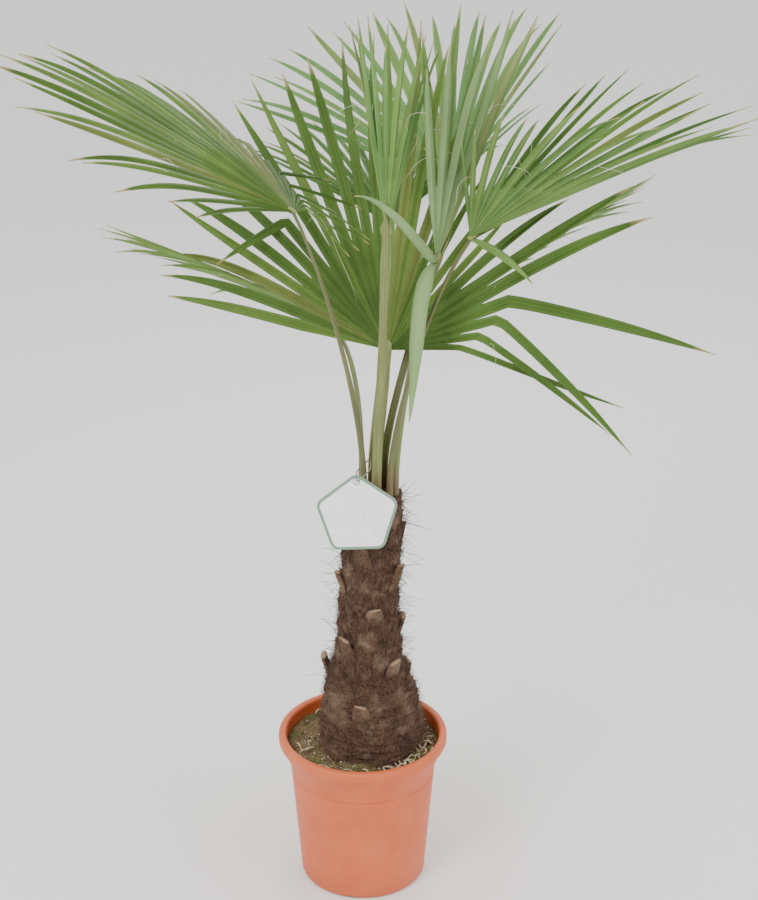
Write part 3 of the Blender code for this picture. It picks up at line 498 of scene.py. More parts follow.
def pot_material():
    """Injection-moulded polypropylene in terracotta: soft satin with a fine spark grain.

    The eye gets faint cloudy lightening where the wall was rubbed, and the foot darker towards the bottom.
    The grain is drawn coarser than life, at 0.8 mm, so that it shows.
    """
    made, tree = start_material("moulded_polypropylene", "#c97a58", 0.55, ior=1.49)
    place = add_node(tree, "TexCoord", out="Object")
    cloud, shade = mix_by_noise(tree, place, 14.0, 5.0, 0.6, (0.40, 0.75), 0.6,
                                linear("#cc5f31"), linear("#da7648"))
    grain = add_node(tree, "TexNoise",
                     {"Vector": place, "Scale": 1.0 / (0.8 * MM), "Detail": 2.0, "Roughness": 0.5})
    height = add_node(tree, "SeparateXYZ", {0: place}, 2)
    # Darker brown over the bottom few centimetres of the pot, its upper edge broken by the cloud noise
    foot_band = add_node(tree, "Math", {0: cloud, 1: -0.05, 2: height}, operation="MULTIPLY_ADD")
    shade = mix_by(tree, foot_band, (-0.02, 0.02), (0.35, 0.0), shade, linear("#ad5f3e"))
    return finish_material(made, shade, grain, 0.18, 0.25)


def unit(rows):
    """Every row of an array brought to length one."""
    return rows / np.maximum(np.linalg.norm(rows, axis=-1, keepdims=True), 1e-12)


def turns(sides):
    """Equal angles once round, one for each side."""
    return np.arange(sides) * math.tau / sides


def out_and_round(turn):
    """Level unit vectors at angles about Z: straight out, and round to the left."""
    out = np.stack([np.cos(turn), np.sin(turn), 0 * turn], axis=-1)
    return out, np.stack([-np.sin(turn), np.cos(turn), 0 * turn], axis=-1)


def heading_vector(heading, slope):
    """The unit vector at a heading round from +X and a slope up from level, in degrees."""
    h = math.radians(heading)
    s = math.radians(slope)
    return np.array([math.cos(s) * math.cos(h), math.cos(s) * math.sin(h), math.sin(s)])


def smooth_share(x):
    """Runs from 0 to 1 with level ends: 3x^2 - 2x^3, held outside."""
    x = np.clip(x, 0.0, 1.0)
    return x * x * (3 - 2 * x)


def lattice_noise(u, v, cells_u, cells_v, seed):
    """Smooth noise from -1 to 1: values drawn on a lattice that closes in u, eased between its points."""
    table = np.random.default_rng(seed).uniform(-1, 1, (cells_u, cells_v + 2))
    x = (u % 1.0) * cells_u
    y = np.clip(v, 0.0, 1.0) * cells_v
    i = np.floor(x).astype(int) % cells_u
    j = np.floor(y).astype(int)
    fx = smooth_share(x - np.floor(x))
    fy = smooth_share(y - j)
    n = (i + 1) % cells_u
    low = table[i, j] * (1 - fx) + table[n, j] * fx
    high = table[i, j + 1] * (1 - fx) + table[n, j + 1] * fx
    return low * (1 - fy) + high * fy


def smooth_path(start, start_way, end, end_way, count):
    """Points on a cubic that leaves and arrives in the two given directions."""
    reach = np.linalg.norm(end - start)
    t = np.linspace(0.0, 1.0, count)[:, None]
    return ((2 * t ** 3 - 3 * t ** 2 + 1) * start + (t ** 3 - 2 * t ** 2 + t) * start_way * reach
            + (3 * t ** 2 - 2 * t ** 3) * end + (t ** 3 - t ** 2) * end_way * reach)


def grid_faces(count, rows, columns, closed):
    """Quads of so many like grids laid one after another; closed joins last column to first."""
    across = columns if closed else columns - 1
    r, c = np.meshgrid(np.arange(rows - 1), np.arange(across), indexing="ij")
    right = (c + 1) % columns
    low = r * columns
    one = np.stack([low + c, low + right, low + columns + right, low + columns + c], axis=-1).reshape(-1, 4)
    return (one[None] + (np.arange(count) * rows * columns)[:, None, None]).reshape(-1, 4)


def with_ends(rings, first, last):
    """Stacks of rings closed at both ends, where one more ring is drawn in to a point."""
    sides = rings.shape[-2]
    return np.concatenate([np.repeat(first, sides, -2), rings, np.repeat(last, sides, -2)], axis=-3)


def tube_uv(v, sides):
    """A tube's UV: once round in U, and the given values along it and at both its ends in V."""
    v = np.concatenate([v[:1], v, v[-1:]])
    return np.stack(np.broadcast_arrays(np.arange(sides) / sides, v[:, None]), axis=-1)


def place_object(name, data):
    """A new object at the origin, linked to the scene."""
    made = bpy.data.objects.new(name, data)
    bpy.context.scene.collection.objects.link(made)
    return made


def add_piece(name, points, materials, nodes=(), uv=None, faces=None, sheet=False, crease=None,
              shades=None):
    """One mesh from grids of points (any number, rows, columns, 3), or from faces given.

    Points that meet are welded. All but open sheets join their last column to the first and face
    outward. Folds past crease degrees stay sharp. Shades are the faces' material numbers.
    """
    if faces is None:
        *count, rows, columns, _ = points.shape
        faces = grid_faces(math.prod(count), rows, columns, not sheet)
    mesh = bpy.data.meshes.new(name)
    mesh.from_pydata(points.reshape(-1, 3).tolist(), [], faces.tolist())
    if uv is not None:
        corners = np.empty(len(mesh.loops), np.int32)
        mesh.loops.foreach_get("vertex_index", corners)
        layer = mesh.uv_layers.new(name="UVMap")
        layer.data.foreach_set("uv", uv.reshape(-1, 2)[corners].astype(np.float32).ravel())
    if shades is not None:
        mesh.polygons.foreach_set("material_index", shades)
    shape = bmesh.new()
    shape.from_mesh(mesh)
    bmesh.ops.remove_doubles(shape, verts=shape.verts, dist=WELD)
    if not sheet:
        bmesh.ops.recalc_face_normals(shape, faces=shape.faces)
    shape.to_mesh(mesh)
    shape.free()
    mesh.shade_smooth()
    if crease is not None:
        mesh.set_sharp_from_angle(angle=math.radians(crease))
    for material in materials:
        mesh.materials.append(material)
    made = place_object(name, mesh)
    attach(made, BODY)
    if nodes:
        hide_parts(*nodes)
    return made


def add_strands(name, paths, radii, sides, reference, material):
    """Many strands at once: a ring square to each path at every row, its root closed to a point.

    Each ring starts square to a reference way. A strand whose last radius is 0 ends in a point.
    """
    paths = np.concatenate([paths[:, :1], paths], axis=1)
    radii = np.concatenate([np.zeros_like(radii[:, :1]), radii], axis=1)
    ways = unit(np.gradient(paths, axis=1))
    side = unit(np.cross(ways, reference))
    other = np.cross(ways, side)
    turn = turns(sides)[:, None]
    ring = side[:, :, None, :] * np.cos(turn) + other[:, :, None, :] * np.sin(turn)
    add_piece(name, paths[:, :, None, :] + ring * radii[:, :, None, None], [material])


def strand_paths(start, way, sag, length, curl, rows):
    """Strands from their starts: out along a way, curling across it, sagging with the run squared."""
    t = np.linspace(0, 1, rows)[None, :, None]
    run = length[:, None, None]
    return (start[:, None] + way[:, None] * t * run + curl[:, None] * t ** 2 * run
            - UP * sag[:, None, None] * t ** 2 * run)


def arc_points(centre, radius, first, last, count):
    """Points on an arc in the profile's plane, from one angle to another in degrees."""
    turn = np.radians(np.linspace(first, last, count))
    return [(centre[0] + radius * math.cos(a), centre[1] + radius * math.sin(a)) for a in turn]


def pot_wall_radius(z):
    """Straight taper from the foot to the collar."""
    share = (z - POT_EDGE_ROUND) / (POT_COLLAR_Z - POT_EDGE_ROUND)
    return POT_FOOT_RADIUS + (POT_COLLAR_RADIUS - POT_FOOT_RADIUS) * share


def pot_profile():
    """The wall's outline as (radius, height), from the floor's middle over the lip to the underside.

    The flare's radius grows with a power of its height share. The lip is two arcs and a rounded
    under-edge, and the groove under the collar is a step in and out again.
    """
    inner_lip = POT_LIP_RADIUS - POT_LIP_WIDTH
    lip_low = POT_HEIGHT - POT_LIP_DEPTH
    lip_arc_z = POT_HEIGHT - POT_LIP_ROUND
    floor_radius = pot_wall_radius(POT_EDGE_ROUND) - POT_WALL - POT_FLOOR_INSET
    groove = POT_COLLAR_RADIUS - POT_GROOVE_DEPTH
    groove_top, groove_low, groove_end = (POT_COLLAR_Z - drop for drop in POT_GROOVE_DROPS)
    foot = POT_FOOT_RADIUS - POT_EDGE_ROUND
    flare_out = POT_LIP_RADIUS - POT_FLARE_INSET - POT_COLLAR_RADIUS
    rise = lip_low - POT_COLLAR_Z
    flare = [(POT_COLLAR_RADIUS + flare_out * s ** POT_FLARE_POWER, POT_COLLAR_Z + rise * s)
             for s in np.linspace(0.04, 1.0, 16)]
    return ([(0.0, POT_FLOOR), (floor_radius * 0.5, POT_FLOOR), (floor_radius - POT_FLOOR_ROUND, POT_FLOOR),
             (floor_radius, POT_FLOOR + POT_FLOOR_ROUND)]
            + [(pot_wall_radius(z) - POT_WALL, z) for z in np.linspace(POT_INSIDE_START, POT_COLLAR_Z, 12)]
            + [(r - POT_WALL, z) for r, z in flare[4:12]]
            + [(inner_lip, POT_HEIGHT - POT_LIP_INSIDE_DROP)]
            + arc_points((inner_lip + POT_LIP_ROUND, lip_arc_z), POT_LIP_ROUND, 180, 90, 7)
            + arc_points((POT_LIP_RADIUS - POT_LIP_ROUND, lip_arc_z), POT_LIP_ROUND, 90, 0, 9)
            + arc_points((POT_LIP_RADIUS - POT_LIP_UNDER_ROUND, lip_low + POT_LIP_UNDER_RISE),
                         POT_LIP_UNDER_ROUND, 0, -75, 6)
            + flare[::-1]
            + [(POT_COLLAR_RADIUS - 0.2 * MM, POT_COLLAR_Z), (groove, groove_top), (groove, groove_low)]
            + [(pot_wall_radius(z), z) for z in np.linspace(groove_end, POT_OUTSIDE_END, 26)]
            + arc_points((foot, POT_EDGE_ROUND), POT_EDGE_ROUND, 15, -90, 9)
            + [(r, 0.0) for r in np.linspace(foot - 0.002, 0.0, 8)])


def make_pot():
    """The outline turned round Z, with the underside lifted where a foot notch is cut."""
    profile = np.array(pot_profile())
    turn = turns(POT_SIDES)
    points = np.stack([profile[:, :1] * np.cos(turn), profile[:, :1] * np.sin(turn),
                       np.repeat(profile[:, 1:], POT_SIDES, axis=1)], axis=-1)
    step = math.tau / POT_NOTCH_COUNT
    off = (turn - POT_NOTCH_TURN + 0.5 * step) % step - 0.5 * step
    near = np.abs(off) * POT_FOOT_RADIUS < POT_NOTCH_WIDTH * 0.5
    outer = np.hypot(points[..., 0], points[..., 1]) > POT_FOOT_RADIUS - POT_NOTCH_DEPTH
    under = np.arange(len(profile))[:, None] >= len(profile) - POT_FOOT_POINTS
    z = points[..., 2]
    points[..., 2] = np.where(near & outer & under, np.maximum(z, POT_NOTCH_HEIGHT), z)
    add_piece("pot_wall", points, [pot_material()], ["pot"], crease=50)


def soil_height(x, y):
    """The soil's top: level, a little lower at the wall, with clods from two sizes of lattice noise."""
    u = x / SOIL_SPAN + 0.5
    v = y / SOIL_SPAN + 0.5
    clods = sum(height * lattice_noise(u, v, cells, cells, seed) for height, cells, seed in CLODS)
    edge = smooth_share((np.hypot(x, y) - SOIL_EDGE_START) / SOIL_EDGE_WIDTH)
    return SOIL_TOP - SOIL_EDGE_DROP + clods * (1 - 0.7 * edge) - SOIL_EDGE_DROP * edge


def make_soil():
    """A disc of rings that follows the soil's height, closed by a plain underside."""
    under, depths = zip(*SOIL_UNDERSIDE)
    radii = np.concatenate([np.linspace(0.0, SOIL_RADIUS, SOIL_RINGS), under])
    turn = turns(SOIL_SIDES)
    x = radii[:, None] * np.cos(turn)
    y = radii[:, None] * np.sin(turn)
    z = soil_height(x, y)
    z[SOIL_RINGS:] = SOIL_TOP - np.array(depths)[:, None]
    add_piece("soil_top", np.stack([x, y, z], axis=-1), [mottled_material("moist_peat")], ["soil"])


def soil_spots(play, count, low, high):
    """Seeded places on the open soil between the trunk's foot and the pot's wall."""
    turn = play.uniform(0, math.tau, count)
    radius = np.sqrt(play.uniform(low ** 2, high ** 2, count))
    x = TRUNK_FOOT_X * np.clip((high - radius) / (high - low), 0, 1) + radius * np.cos(turn)
    return x, radius * np.sin(turn)


def make_moss():
    """Short tufts, leaning with the run squared, in cushions where a lattice noise is high."""
    play = np.random.default_rng(41)
    x, y = soil_spots(play, MOSS_COUNT, *MOSS_RING)
    patch = lattice_noise(x / SOIL_SPAN + 0.5, y / SOIL_SPAN + 0.5, MOSS_PATCHES, MOSS_PATCHES, 42)
    keep = patch > MOSS_PATCH_LEAST
    x, y, patch = x[keep], y[keep], patch[keep]
    count = len(x)
    length = (play.uniform(*MOSS_LENGTHS, count) * MM * (0.7 + 0.6 * patch))[:, None]
    lean = play.uniform(-0.6, 0.6, (count, 2))
    t = np.linspace(0, 1, 4)
    paths = np.stack([x[:, None] + lean[:, :1] * length * t ** 2, y[:, None] + lean[:, 1:] * length * t ** 2,
                      soil_height(x, y)[:, None] - MOSS_ROOT_DEPTH + length * t], axis=-1)
    radii = play.uniform(*MOSS_RADII, count)[:, None] * MM * MOSS_TAPER
    half = count // 2
    for name, part in (("moss_green", slice(0, half)), ("moss_brown", slice(half, count))):
        add_strands(name, paths[part], radii[part], 3, np.array([0.9, 0.3, 0.1]),
                    mottled_material("cushion_" + name))


def make_soil_roots():
    """Thin pale roots: half a sine wave up out of the soil and back, bowed sideways by a longer one.

    Most lie in front of the trunk's right side, and none reaches past the pot's wall.
    """
    play = np.random.default_rng(51)
    count = ROOTS_BY_TRUNK + ROOTS_ELSEWHERE
    near = play.uniform(-72, -8, ROOTS_BY_TRUNK)
    turn = np.radians(np.concatenate([near, play.uniform(0, 360, ROOTS_ELSEWHERE)]))
    radius = play.uniform(0.098, 0.126, count)
    x = (radius * np.cos(turn) + 0.006)[:, None]
    y = (radius * np.sin(turn))[:, None]
    way = (turn + play.uniform(-1.3, 1.3, count) + math.pi / 2)[:, None]
    span, rise, bow = (play.uniform(*sizes, count)[:, None] * MM for sizes in ROOT_SIZES)
    t = np.linspace(0, 1, ROOT_ROWS)
    along = (t - 0.5) * span
    across = bow * np.sin(math.pi * t * 1.6)
    paths = np.stack([x + along * np.cos(way) - across * np.sin(way),
                      y + along * np.sin(way) + across * np.cos(way),
                      SOIL_TOP - ROOT_DEPTH + rise * np.sin(math.pi * t)], axis=-1)
    paths[..., :2] /= np.maximum(np.hypot(paths[..., 0], paths[..., 1]) / ROOT_REACH, 1.0)[..., None]
    radii = play.uniform(*ROOT_RADII, count)[:, None] * MM * np.clip(6 * np.minimum(t, 1 - t), 0.0, 1.0)
    add_strands("soil_roots", paths, radii, 7, np.array([0.05, 0.1, 1.0]),
                mottled_material("pale_root_skin"))


def make_chips():
    """Small angular bark chips and pale grit: lumps of six corners and eight faces, stretched by seed."""
    play = np.random.default_rng(61)
    corner = np.array([[1, 0, 0], [0, 1, 0], [-1, 0, 0], [0, -1, 0], [0, 0, 1], [0, 0, -1]], float)
    lump = np.array([[0, 1, 4], [1, 2, 4], [2, 3, 4], [3, 0, 4], [1, 0, 5], [2, 1, 5], [3, 2, 5], [0, 3, 5]])
    for name, count, sizes in CHIPS:
        x, y = soil_spots(play, count, *CHIP_RING)
        size = play.uniform(*sizes, count)[:, None] * MM * play.uniform(0.5, 1.3, (count, 3))
        turn = play.uniform(0, math.tau, count)[:, None]
        lumps = corner[None] * play.uniform(0.6, 1.1, (count, 6, 1)) * size[:, None, :]
        across, deep, high = lumps[..., 0], lumps[..., 1], lumps[..., 2] * 0.7
        turned = np.stack([across * np.cos(turn) - deep * np.sin(turn),
                           across * np.sin(turn) + deep * np.cos(turn), high], axis=-1)
        turned += np.stack([x, y, soil_height(x, y) + 0.6 * MM], axis=-1)[:, None, :]
        faces = (lump[None] + (np.arange(count) * len(corner))[:, None, None]).reshape(-1, 3)
        add_piece(name, turned, [mottled_material(name + "_surface")], faces=faces, crease=30)


def trunk_centre(share):
    """The trunk's axis: an eased run from foot to head, bent in to a waist by half a sine wave."""
    ease = 3 * share ** 2 - 2 * share ** 3
    bow = (TRUNK_WAIST_X - 0.5 * (TRUNK_FOOT_X + TRUNK_HEAD_X)) * np.sin(math.pi * share)
    return TRUNK_FOOT_X + (TRUNK_HEAD_X - TRUNK_FOOT_X) * ease + bow


def trunk_profile_radius(share):
    """The radius between the profile's named heights."""
    return np.interp(share, *zip(*TRUNK_PROFILE))


def trunk_radius(share, turn):
    """The profile's radius with its five shallow lobes."""
    lobe = np.cos(TRUNK_LOBES * turn + TRUNK_LOBE_TWIST * share)
    return trunk_profile_radius(share) * (1.0 + TRUNK_LOBE_DEPTH * lobe)


def trunk_relief(share, turn):
    """Fibre mat: slanting overlapped wraps, upright strands, and level wraps round the foot.

    The wraps are a sawtooth that slants round the trunk, and the rest is lattice noise, all in mm
    until the last line.
    """
    u = turn / math.tau
    slant = 0.35 * np.sin(turn * 2 + 3.0 * share) + 0.25 * lattice_noise(u, share, 7, 9, 71)
    wrap = (share * TRUNK_WRAPS + slant) % 1.0
    wraps = TRUNK_WRAP_DEPTH * wrap ** 1.5 - TRUNK_WRAP_SINK
    strands, level, lumps = (sum(depth * lattice_noise(u, share, *cells) for depth, *cells in layers)
                             for layers in (STRAND_LAYERS, LEVEL_LAYERS, LUMP_LAYERS))
    low = 1.0 - smooth_share((share - 0.22) / 0.12)
    return (wraps * (1 - 0.75 * low) + strands * (1 - 0.6 * low) + level * low * 1.3 + lumps) * MM


def make_trunk():
    """The trunk's skin: profile radius plus relief on a grid of turn and height, closed at both ends."""
    share = np.concatenate([[0.0], np.linspace(0.0, 1.0, TRUNK_ROWS), [1.0]])[:, None]
    turn = turns(TRUNK_SIDES)[None]
    radius = trunk_radius(share, turn) + trunk_relief(share, turn) - 1.0 * MM
    radius[[0, -1]] = 0.0
    z = SOIL_TOP - TRUNK_SINK + (TRUNK_TOP - SOIL_TOP + TRUNK_SINK) * share + 0.0 * turn
    z += 3 * MM * lattice_noise(turn / math.tau, share, 40, 6, 77) * smooth_share((share - 0.9) / 0.1)
    points = np.stack([trunk_centre(share) + radius * np.cos(turn), radius * np.sin(turn), z], axis=-1)
    add_piece("trunk_fibre_mat", points, [fibre_material("matted_palm_fibre")], ["trunk"])


def stub_frames():
    """Foot, up, out and side of every cut leaf base, turned round the trunk by the same angle each."""
    k = np.arange(STUB_COUNT)
    share = STUB_LOW + (STUB_HIGH - STUB_LOW) * k / (STUB_COUNT - 1)
    out, side = out_and_round(STUB_START + STUB_TURN * k)
    z = SOIL_TOP + (TRUNK_TOP - SOIL_TOP) * share
    foot = np.stack([trunk_centre(share), 0 * z, z - STUB_LENGTH * 0.5], axis=-1)
    foot += out * (trunk_profile_radius(share) - STUB_THICK)[:, None]
    return foot, unit(UP + STUB_LEAN * out), out, side


def make_stubs():
    """Cut leaf bases: a flat oval carried up from the mat to a slanting cut, with a paler cut face.

    The oval narrows evenly, and the cut's slant grows with the fourth power of the run.
    """
    play = np.random.default_rng(81)
    foot, up, out, side = (rows[:, None, None] for rows in stub_frames())
    t = np.linspace(0, 1, STUB_ROWS)[None, :, None]
    turn = turns(STUB_SIDES)
    cut = play.uniform(0.70, 1.0, STUB_COUNT)[:, None, None]
    rough = 1.0 + 0.10 * play.uniform(-1, 1, (STUB_COUNT, STUB_ROWS, STUB_SIDES))
    wide = (STUB_FOOT_SHARE - STUB_NARROWING * t) * STUB_WIDTH * 0.5 * rough * np.cos(turn)
    thick = STUB_THICK * STUB_HALF_SHARE * rough * np.sin(turn)
    slant = t ** 4 * STUB_SLANT * play.uniform(-1, 1, STUB_COUNT)[:, None, None] * np.cos(turn)
    rise = t * STUB_LENGTH * cut + slant
    points = (foot + up * rise[..., None] + out * (t * STUB_PROUD)[..., None] + side * wide[..., None]
              + out * thick[..., None])
    closed = with_ends(points, points[:, :1].mean(axis=2, keepdims=True),
                       points[:, -1:].mean(axis=2, keepdims=True))
    add_piece("leaf_bases", closed, [fibre_material("split_leaf_base")], crease=50)
    rim = points[:, -1:]
    middle = rim.mean(axis=2, keepdims=True)
    lift = up * 0.4 * MM
    reach = rim - middle
    low, high = STUB_FACE_SHARES
    face = np.concatenate([middle + reach * low - lift, middle + reach * high + lift], axis=1)
    add_piece("leaf_base_cuts", with_ends(face, middle - lift, middle + lift * 1.6),
              [mottled_material("cut_leaf_base_pith")])


def make_hairs():
    """Loose trunk fibres: a close coat on the mat, strays that stand off it, and wraps at the foot."""
    play = np.random.default_rng(91)
    for name, count, heights, lengths, stand in HAIRS:
        share = play.uniform(*heights, count)
        turn = play.uniform(0, math.tau, count)
        radius = trunk_radius(share, turn) + trunk_relief(share, turn) - 1.5 * MM
        start = np.stack([trunk_centre(share) + radius * np.cos(turn), radius * np.sin(turn),
                          SOIL_TOP + (TRUNK_TOP - SOIL_TOP) * share], axis=-1)
        out, left = out_and_round(turn)
        wraps = name == "trunk_hair_foot"
        if wraps:
            way = unit(left * play.choice([-1, 1], count)[:, None] + out * stand
                       + UP * play.uniform(-0.25, 0.25, count)[:, None])
        else:
            way = unit(UP * play.uniform(*HAIR_RISE, count)[:, None]
                       + out * stand * play.uniform(*HAIR_STAND, count)[:, None]
                       + left * play.uniform(*HAIR_SWAY, count)[:, None])
        length = play.uniform(*lengths, count) * MM
        curl = unit(play.normal(size=(count, 3))) * play.uniform(*HAIR_CURL, count)[:, None]
        curl -= out * (0.25 if stand < 0.5 else 0.0)
        paths = strand_paths(start, way, play.uniform(*HAIR_SAG, count), length, curl, len(HAIR_TAPER))
        if wraps:
            paths[..., :2] *= np.minimum(1.0, HAIR_REACH / np.hypot(paths[..., 0], paths[..., 1]))[..., None]
            paths[..., 2] = np.maximum(paths[..., 2], SOIL_TOP - 0.002)
        radii = HAIR_RADIUS * play.uniform(*HAIR_WIDTHS, count)[:, None] * HAIR_TAPER
        add_strands(name, paths, radii, 3, HAIR_ACROSS,
                    fibre_material(name.replace("trunk", "dry_palm")))


def blade_frame(leaf):
    """Side, axis and normal of a blade; the normal is its upper face."""
    axis = heading_vector(leaf.heading, leaf.slope)
    h = math.radians(leaf.heading)
    level = np.array([math.sin(h), -math.cos(h), 0.0])
    lifted = np.cross(level, axis)
    r = math.radians(leaf.roll)
    side = level * math.cos(r) + lifted * math.sin(r)
    return side, axis, np.cross(side, axis)


def edge_shares(leaf, angles):
    """How far out each angle lies, from 0 at the middle to 1 at the edge on its own side."""
    low, high = np.radians(leaf.spread)
    return np.abs(np.where(angles < 0, angles / low, angles / high))


def rays_at(leaf, angles):
    """The leaflets' ways out at angles from the middle, each half of the fan folded up."""
    side, axis, normal = blade_frame(leaf)
    fold = np.radians(np.where(angles < 0, *leaf.fold)) * np.sqrt(edge_shares(leaf, angles))
    across = np.sin(angles)
    return ((across * np.cos(fold))[:, None] * side + np.cos(angles)[:, None] * axis
            + (np.abs(across) * np.sin(fold))[:, None] * normal)


def fan_of(leaf):
    """Angles, ways, frames, lengths and breaks of all leaflets, with the source's seeded play."""
    play = np.random.default_rng(leaf.seed)
    count = leaf.count
    angles = np.linspace(*np.radians(leaf.spread), count)
    angles[1:-1] += play.uniform(-1, 1, count - 2) * ANGLE_JITTER
    stretch = 1.0 + play.uniform(-1, 1, count) * LENGTH_JITTER
    short = np.where(angles < 0, *leaf.short) * edge_shares(leaf, angles) ** 2
    odd = [leaf.odd.get(k, (1.0, 1.0, 0, 0)) for k in range(count)]
    grow, bend, heading, slope = np.array(odd, float).T
    way = rays_at(leaf, angles)
    step = 0.01
    across = rays_at(leaf, angles + step) - rays_at(leaf, angles - step)
    across = unit(across - way * np.sum(across * way, axis=-1, keepdims=True))
    broken = np.array([heading_vector(h, s) for h, s in zip(heading, slope)])
    after = np.where((bend < 1.0)[:, None], broken, way)
    length = leaf.length * (1 - short) * stretch * grow
    return angles, way, across, np.cross(across, way), length, bend, after


def turned_about(vectors, axis, angle):
    """Vectors turned about unit axes by angles: the along part stays, the rest swings."""
    cos, sin = np.cos(angle)[..., None], np.sin(angle)[..., None]
    along = np.sum(vectors * axis, axis=-1, keepdims=True)
    return vectors * cos + np.cross(axis, vectors) * sin + axis * along * (1 - cos)


def split_radii(length, bend):
    """How far from the hub each leaflet parts from the next, with the fan's two outer edges."""
    most = FREE_BEFORE_BREAK * bend * length
    joined = np.minimum(WEB_SHARE * 0.5 * (length[:-1] + length[1:]), np.minimum(most[:-1], most[1:]))
    ends = np.minimum(WEB_SHARE * length, most)
    return np.concatenate([ends[:1], joined, ends[-1:]])


def folded_columns(left, middle, right, bow):
    """Five lines along a leaflet: its edges, its sunk middle, and two bowed out halfway between."""
    return np.stack([left, 0.5 * (left + middle) + bow, middle, 0.5 * (right + middle) + bow, right], axis=2)


def ray_points(leaf, way, up, out, lift, sag):
    """Points on rays from the hub: so far out, lifted off the ray and sagging."""
    return leaf.hub + way[:, None] * out[..., None] + up[:, None] * lift[..., None] - UP * sag[..., None]


def web_part(leaf, fan, radius, edge_gap, spacing):
    """The joined part: raised edges shared with the neighbours, the middle sunk by the same pleat."""
    _, way, across, up, length, _, _ = fan
    first = way[:1] - across[:1] * 0.5 * edge_gap[0]
    last = way[-1:] + across[-1:] * 0.5 * edge_gap[-1]
    edge_way = unit(np.vstack([first, way[:-1] + way[1:], last]))
    edge_up = unit(np.vstack([up[:1], up[:-1] + up[1:], up[-1:]]))
    w = np.linspace(0.0, 1.0, WEB_ROWS)
    r = radius[:, None] * w
    m = 0.5 * (radius[:-1] + radius[1:])[:, None] * w
    pleat = PLEAT * 0.5 * spacing[:, None] * m
    edges = ray_points(leaf, edge_way, edge_up, r, PLEAT * 0.5 * edge_gap[:, None] * r,
                       leaf.droop * r ** 2 / leaf.length)
    middle = ray_points(leaf, way, up, m, -pleat, leaf.droop * m ** 2 / length[:, None])
    return folded_columns(edges[:-1], middle, edges[1:], up[:, None] * (BOW_SHARE * pleat)[..., None])


def free_part(leaf, fan, web, mean, spacing, share, x):
    """The parted leaflets: as wide as their spacing, less by 1 - x^3.6 toward a tip with a short cleft.

    A broken leaflet turns by the least turn into its new heading. Beyond the source's straight
    leaflets, tips swing, rise, hang and twist by small seeded amounts. Both edges start on the
    web's own and ease to the leaflet's over its first quarter.
    """
    _, way, across, up, length, bend, after = fan
    play = np.random.default_rng(leaf.seed + 100)
    count = len(length)
    run = length[:, None]
    bent = bend[:, None]
    line = (leaf.hub + (way[:, None] * np.minimum(share, bent)[..., None]
                           + after[:, None] * np.maximum(share - bent, 0.0)[..., None]) * run[..., None]
            - UP * (leaf.droop * run * share ** 2)[..., None])
    swing = play.uniform(-1, 1, (count, 2)) * np.array([TIP_SWING, TIP_RISE])
    hang = play.uniform(0.0, TIP_HANG, count) * (play.random(count) < TIP_HANG_ODDS)
    line += across[:, None] * (swing[:, :1] * run * x ** 2.5)[..., None]
    line += up[:, None] * ((swing[:, 1:] - TIP_FALL) * run * x ** 3)[..., None]
    line -= UP * (hang[:, None] * run * x ** 3)[..., None]
    axis = np.cross(way, after)
    size = np.linalg.norm(axis, axis=-1)
    angle = np.arctan2(size, np.sum(way * after, axis=-1))[:, None]
    axis = (axis / np.maximum(size, 1e-9)[:, None])[:, None]
    turned = angle * smooth_share((share - bent) / BREAK_EASE + 0.5) * (bent < 1.0)
    side = turned_about(across[:, None], axis, turned)
    top = turned_about(up[:, None], axis, turned)
    twist = (play.uniform(-TIP_TWIST, TIP_TWIST, count)[:, None] * x ** 1.5)[..., None]
    side, top = side * np.cos(twist) + top * np.sin(twist), top * np.cos(twist) - side * np.sin(twist)
    half = np.maximum(0.5 * (spacing * mean)[:, None] * (1.0 - x ** TAPER_POWER), LEAST_HALF_WIDTH)[..., None]
    lift = top * PLEAT * half
    left = line - side * half + lift
    right = line + side * half + lift
    held = (1.0 - np.clip(x / WEB_HOLD, 0, 1))[..., None] ** 2
    left = left + (web[:, -1:, 0] - left[:, :1]) * held
    right = right + (web[:, -1:, -1] - right[:, :1]) * held
    cleft = np.clip((x - CLEFT_START) / (1 - CLEFT_START), 0, 1)[..., None]
    middle = line - lift - unit(np.gradient(line, axis=1)) * cleft * (CLEFT_DEPTH * run)[..., None]
    free = folded_columns(left, middle, right, top * PLEAT * BOW_SHARE * half)
    free[:, -1, 1] = left[:, -1] + side[:, -1] * 0.3 * MM
    free[:, -1, 3] = right[:, -1] - side[:, -1] * 0.3 * MM
    return free


def leaflet_grid(leaf):
    """Points of all leaflets of a fan, rows from the hub to the tip, and their UV."""
    fan = fan_of(leaf)
    angles, length, bend = fan[0], fan[4], fan[5]
    radius = split_radii(length, bend)
    gap = np.diff(angles)
    edge_gap = np.concatenate([gap[:1], gap, gap[-1:]])
    spacing = 0.5 * (edge_gap[:-1] + edge_gap[1:])
    mean = 0.5 * (radius[:-1] + radius[1:])
    web = web_part(leaf, fan, radius, edge_gap, spacing)
    x = np.linspace(0.0, 1.0, FREE_ROWS + 1)[None, 1:]
    start = (mean / length)[:, None]
    share = start + (1.0 - start) * x
    points = np.concatenate([web, free_part(leaf, fan, web, mean, spacing, share, x)], axis=1)
    v = np.concatenate([start * np.linspace(0.0, 1.0, WEB_ROWS), share], axis=1)
    return points, np.stack(np.broadcast_arrays(np.linspace(0, 1, LEAF_COLUMNS), v[..., None]), axis=-1)


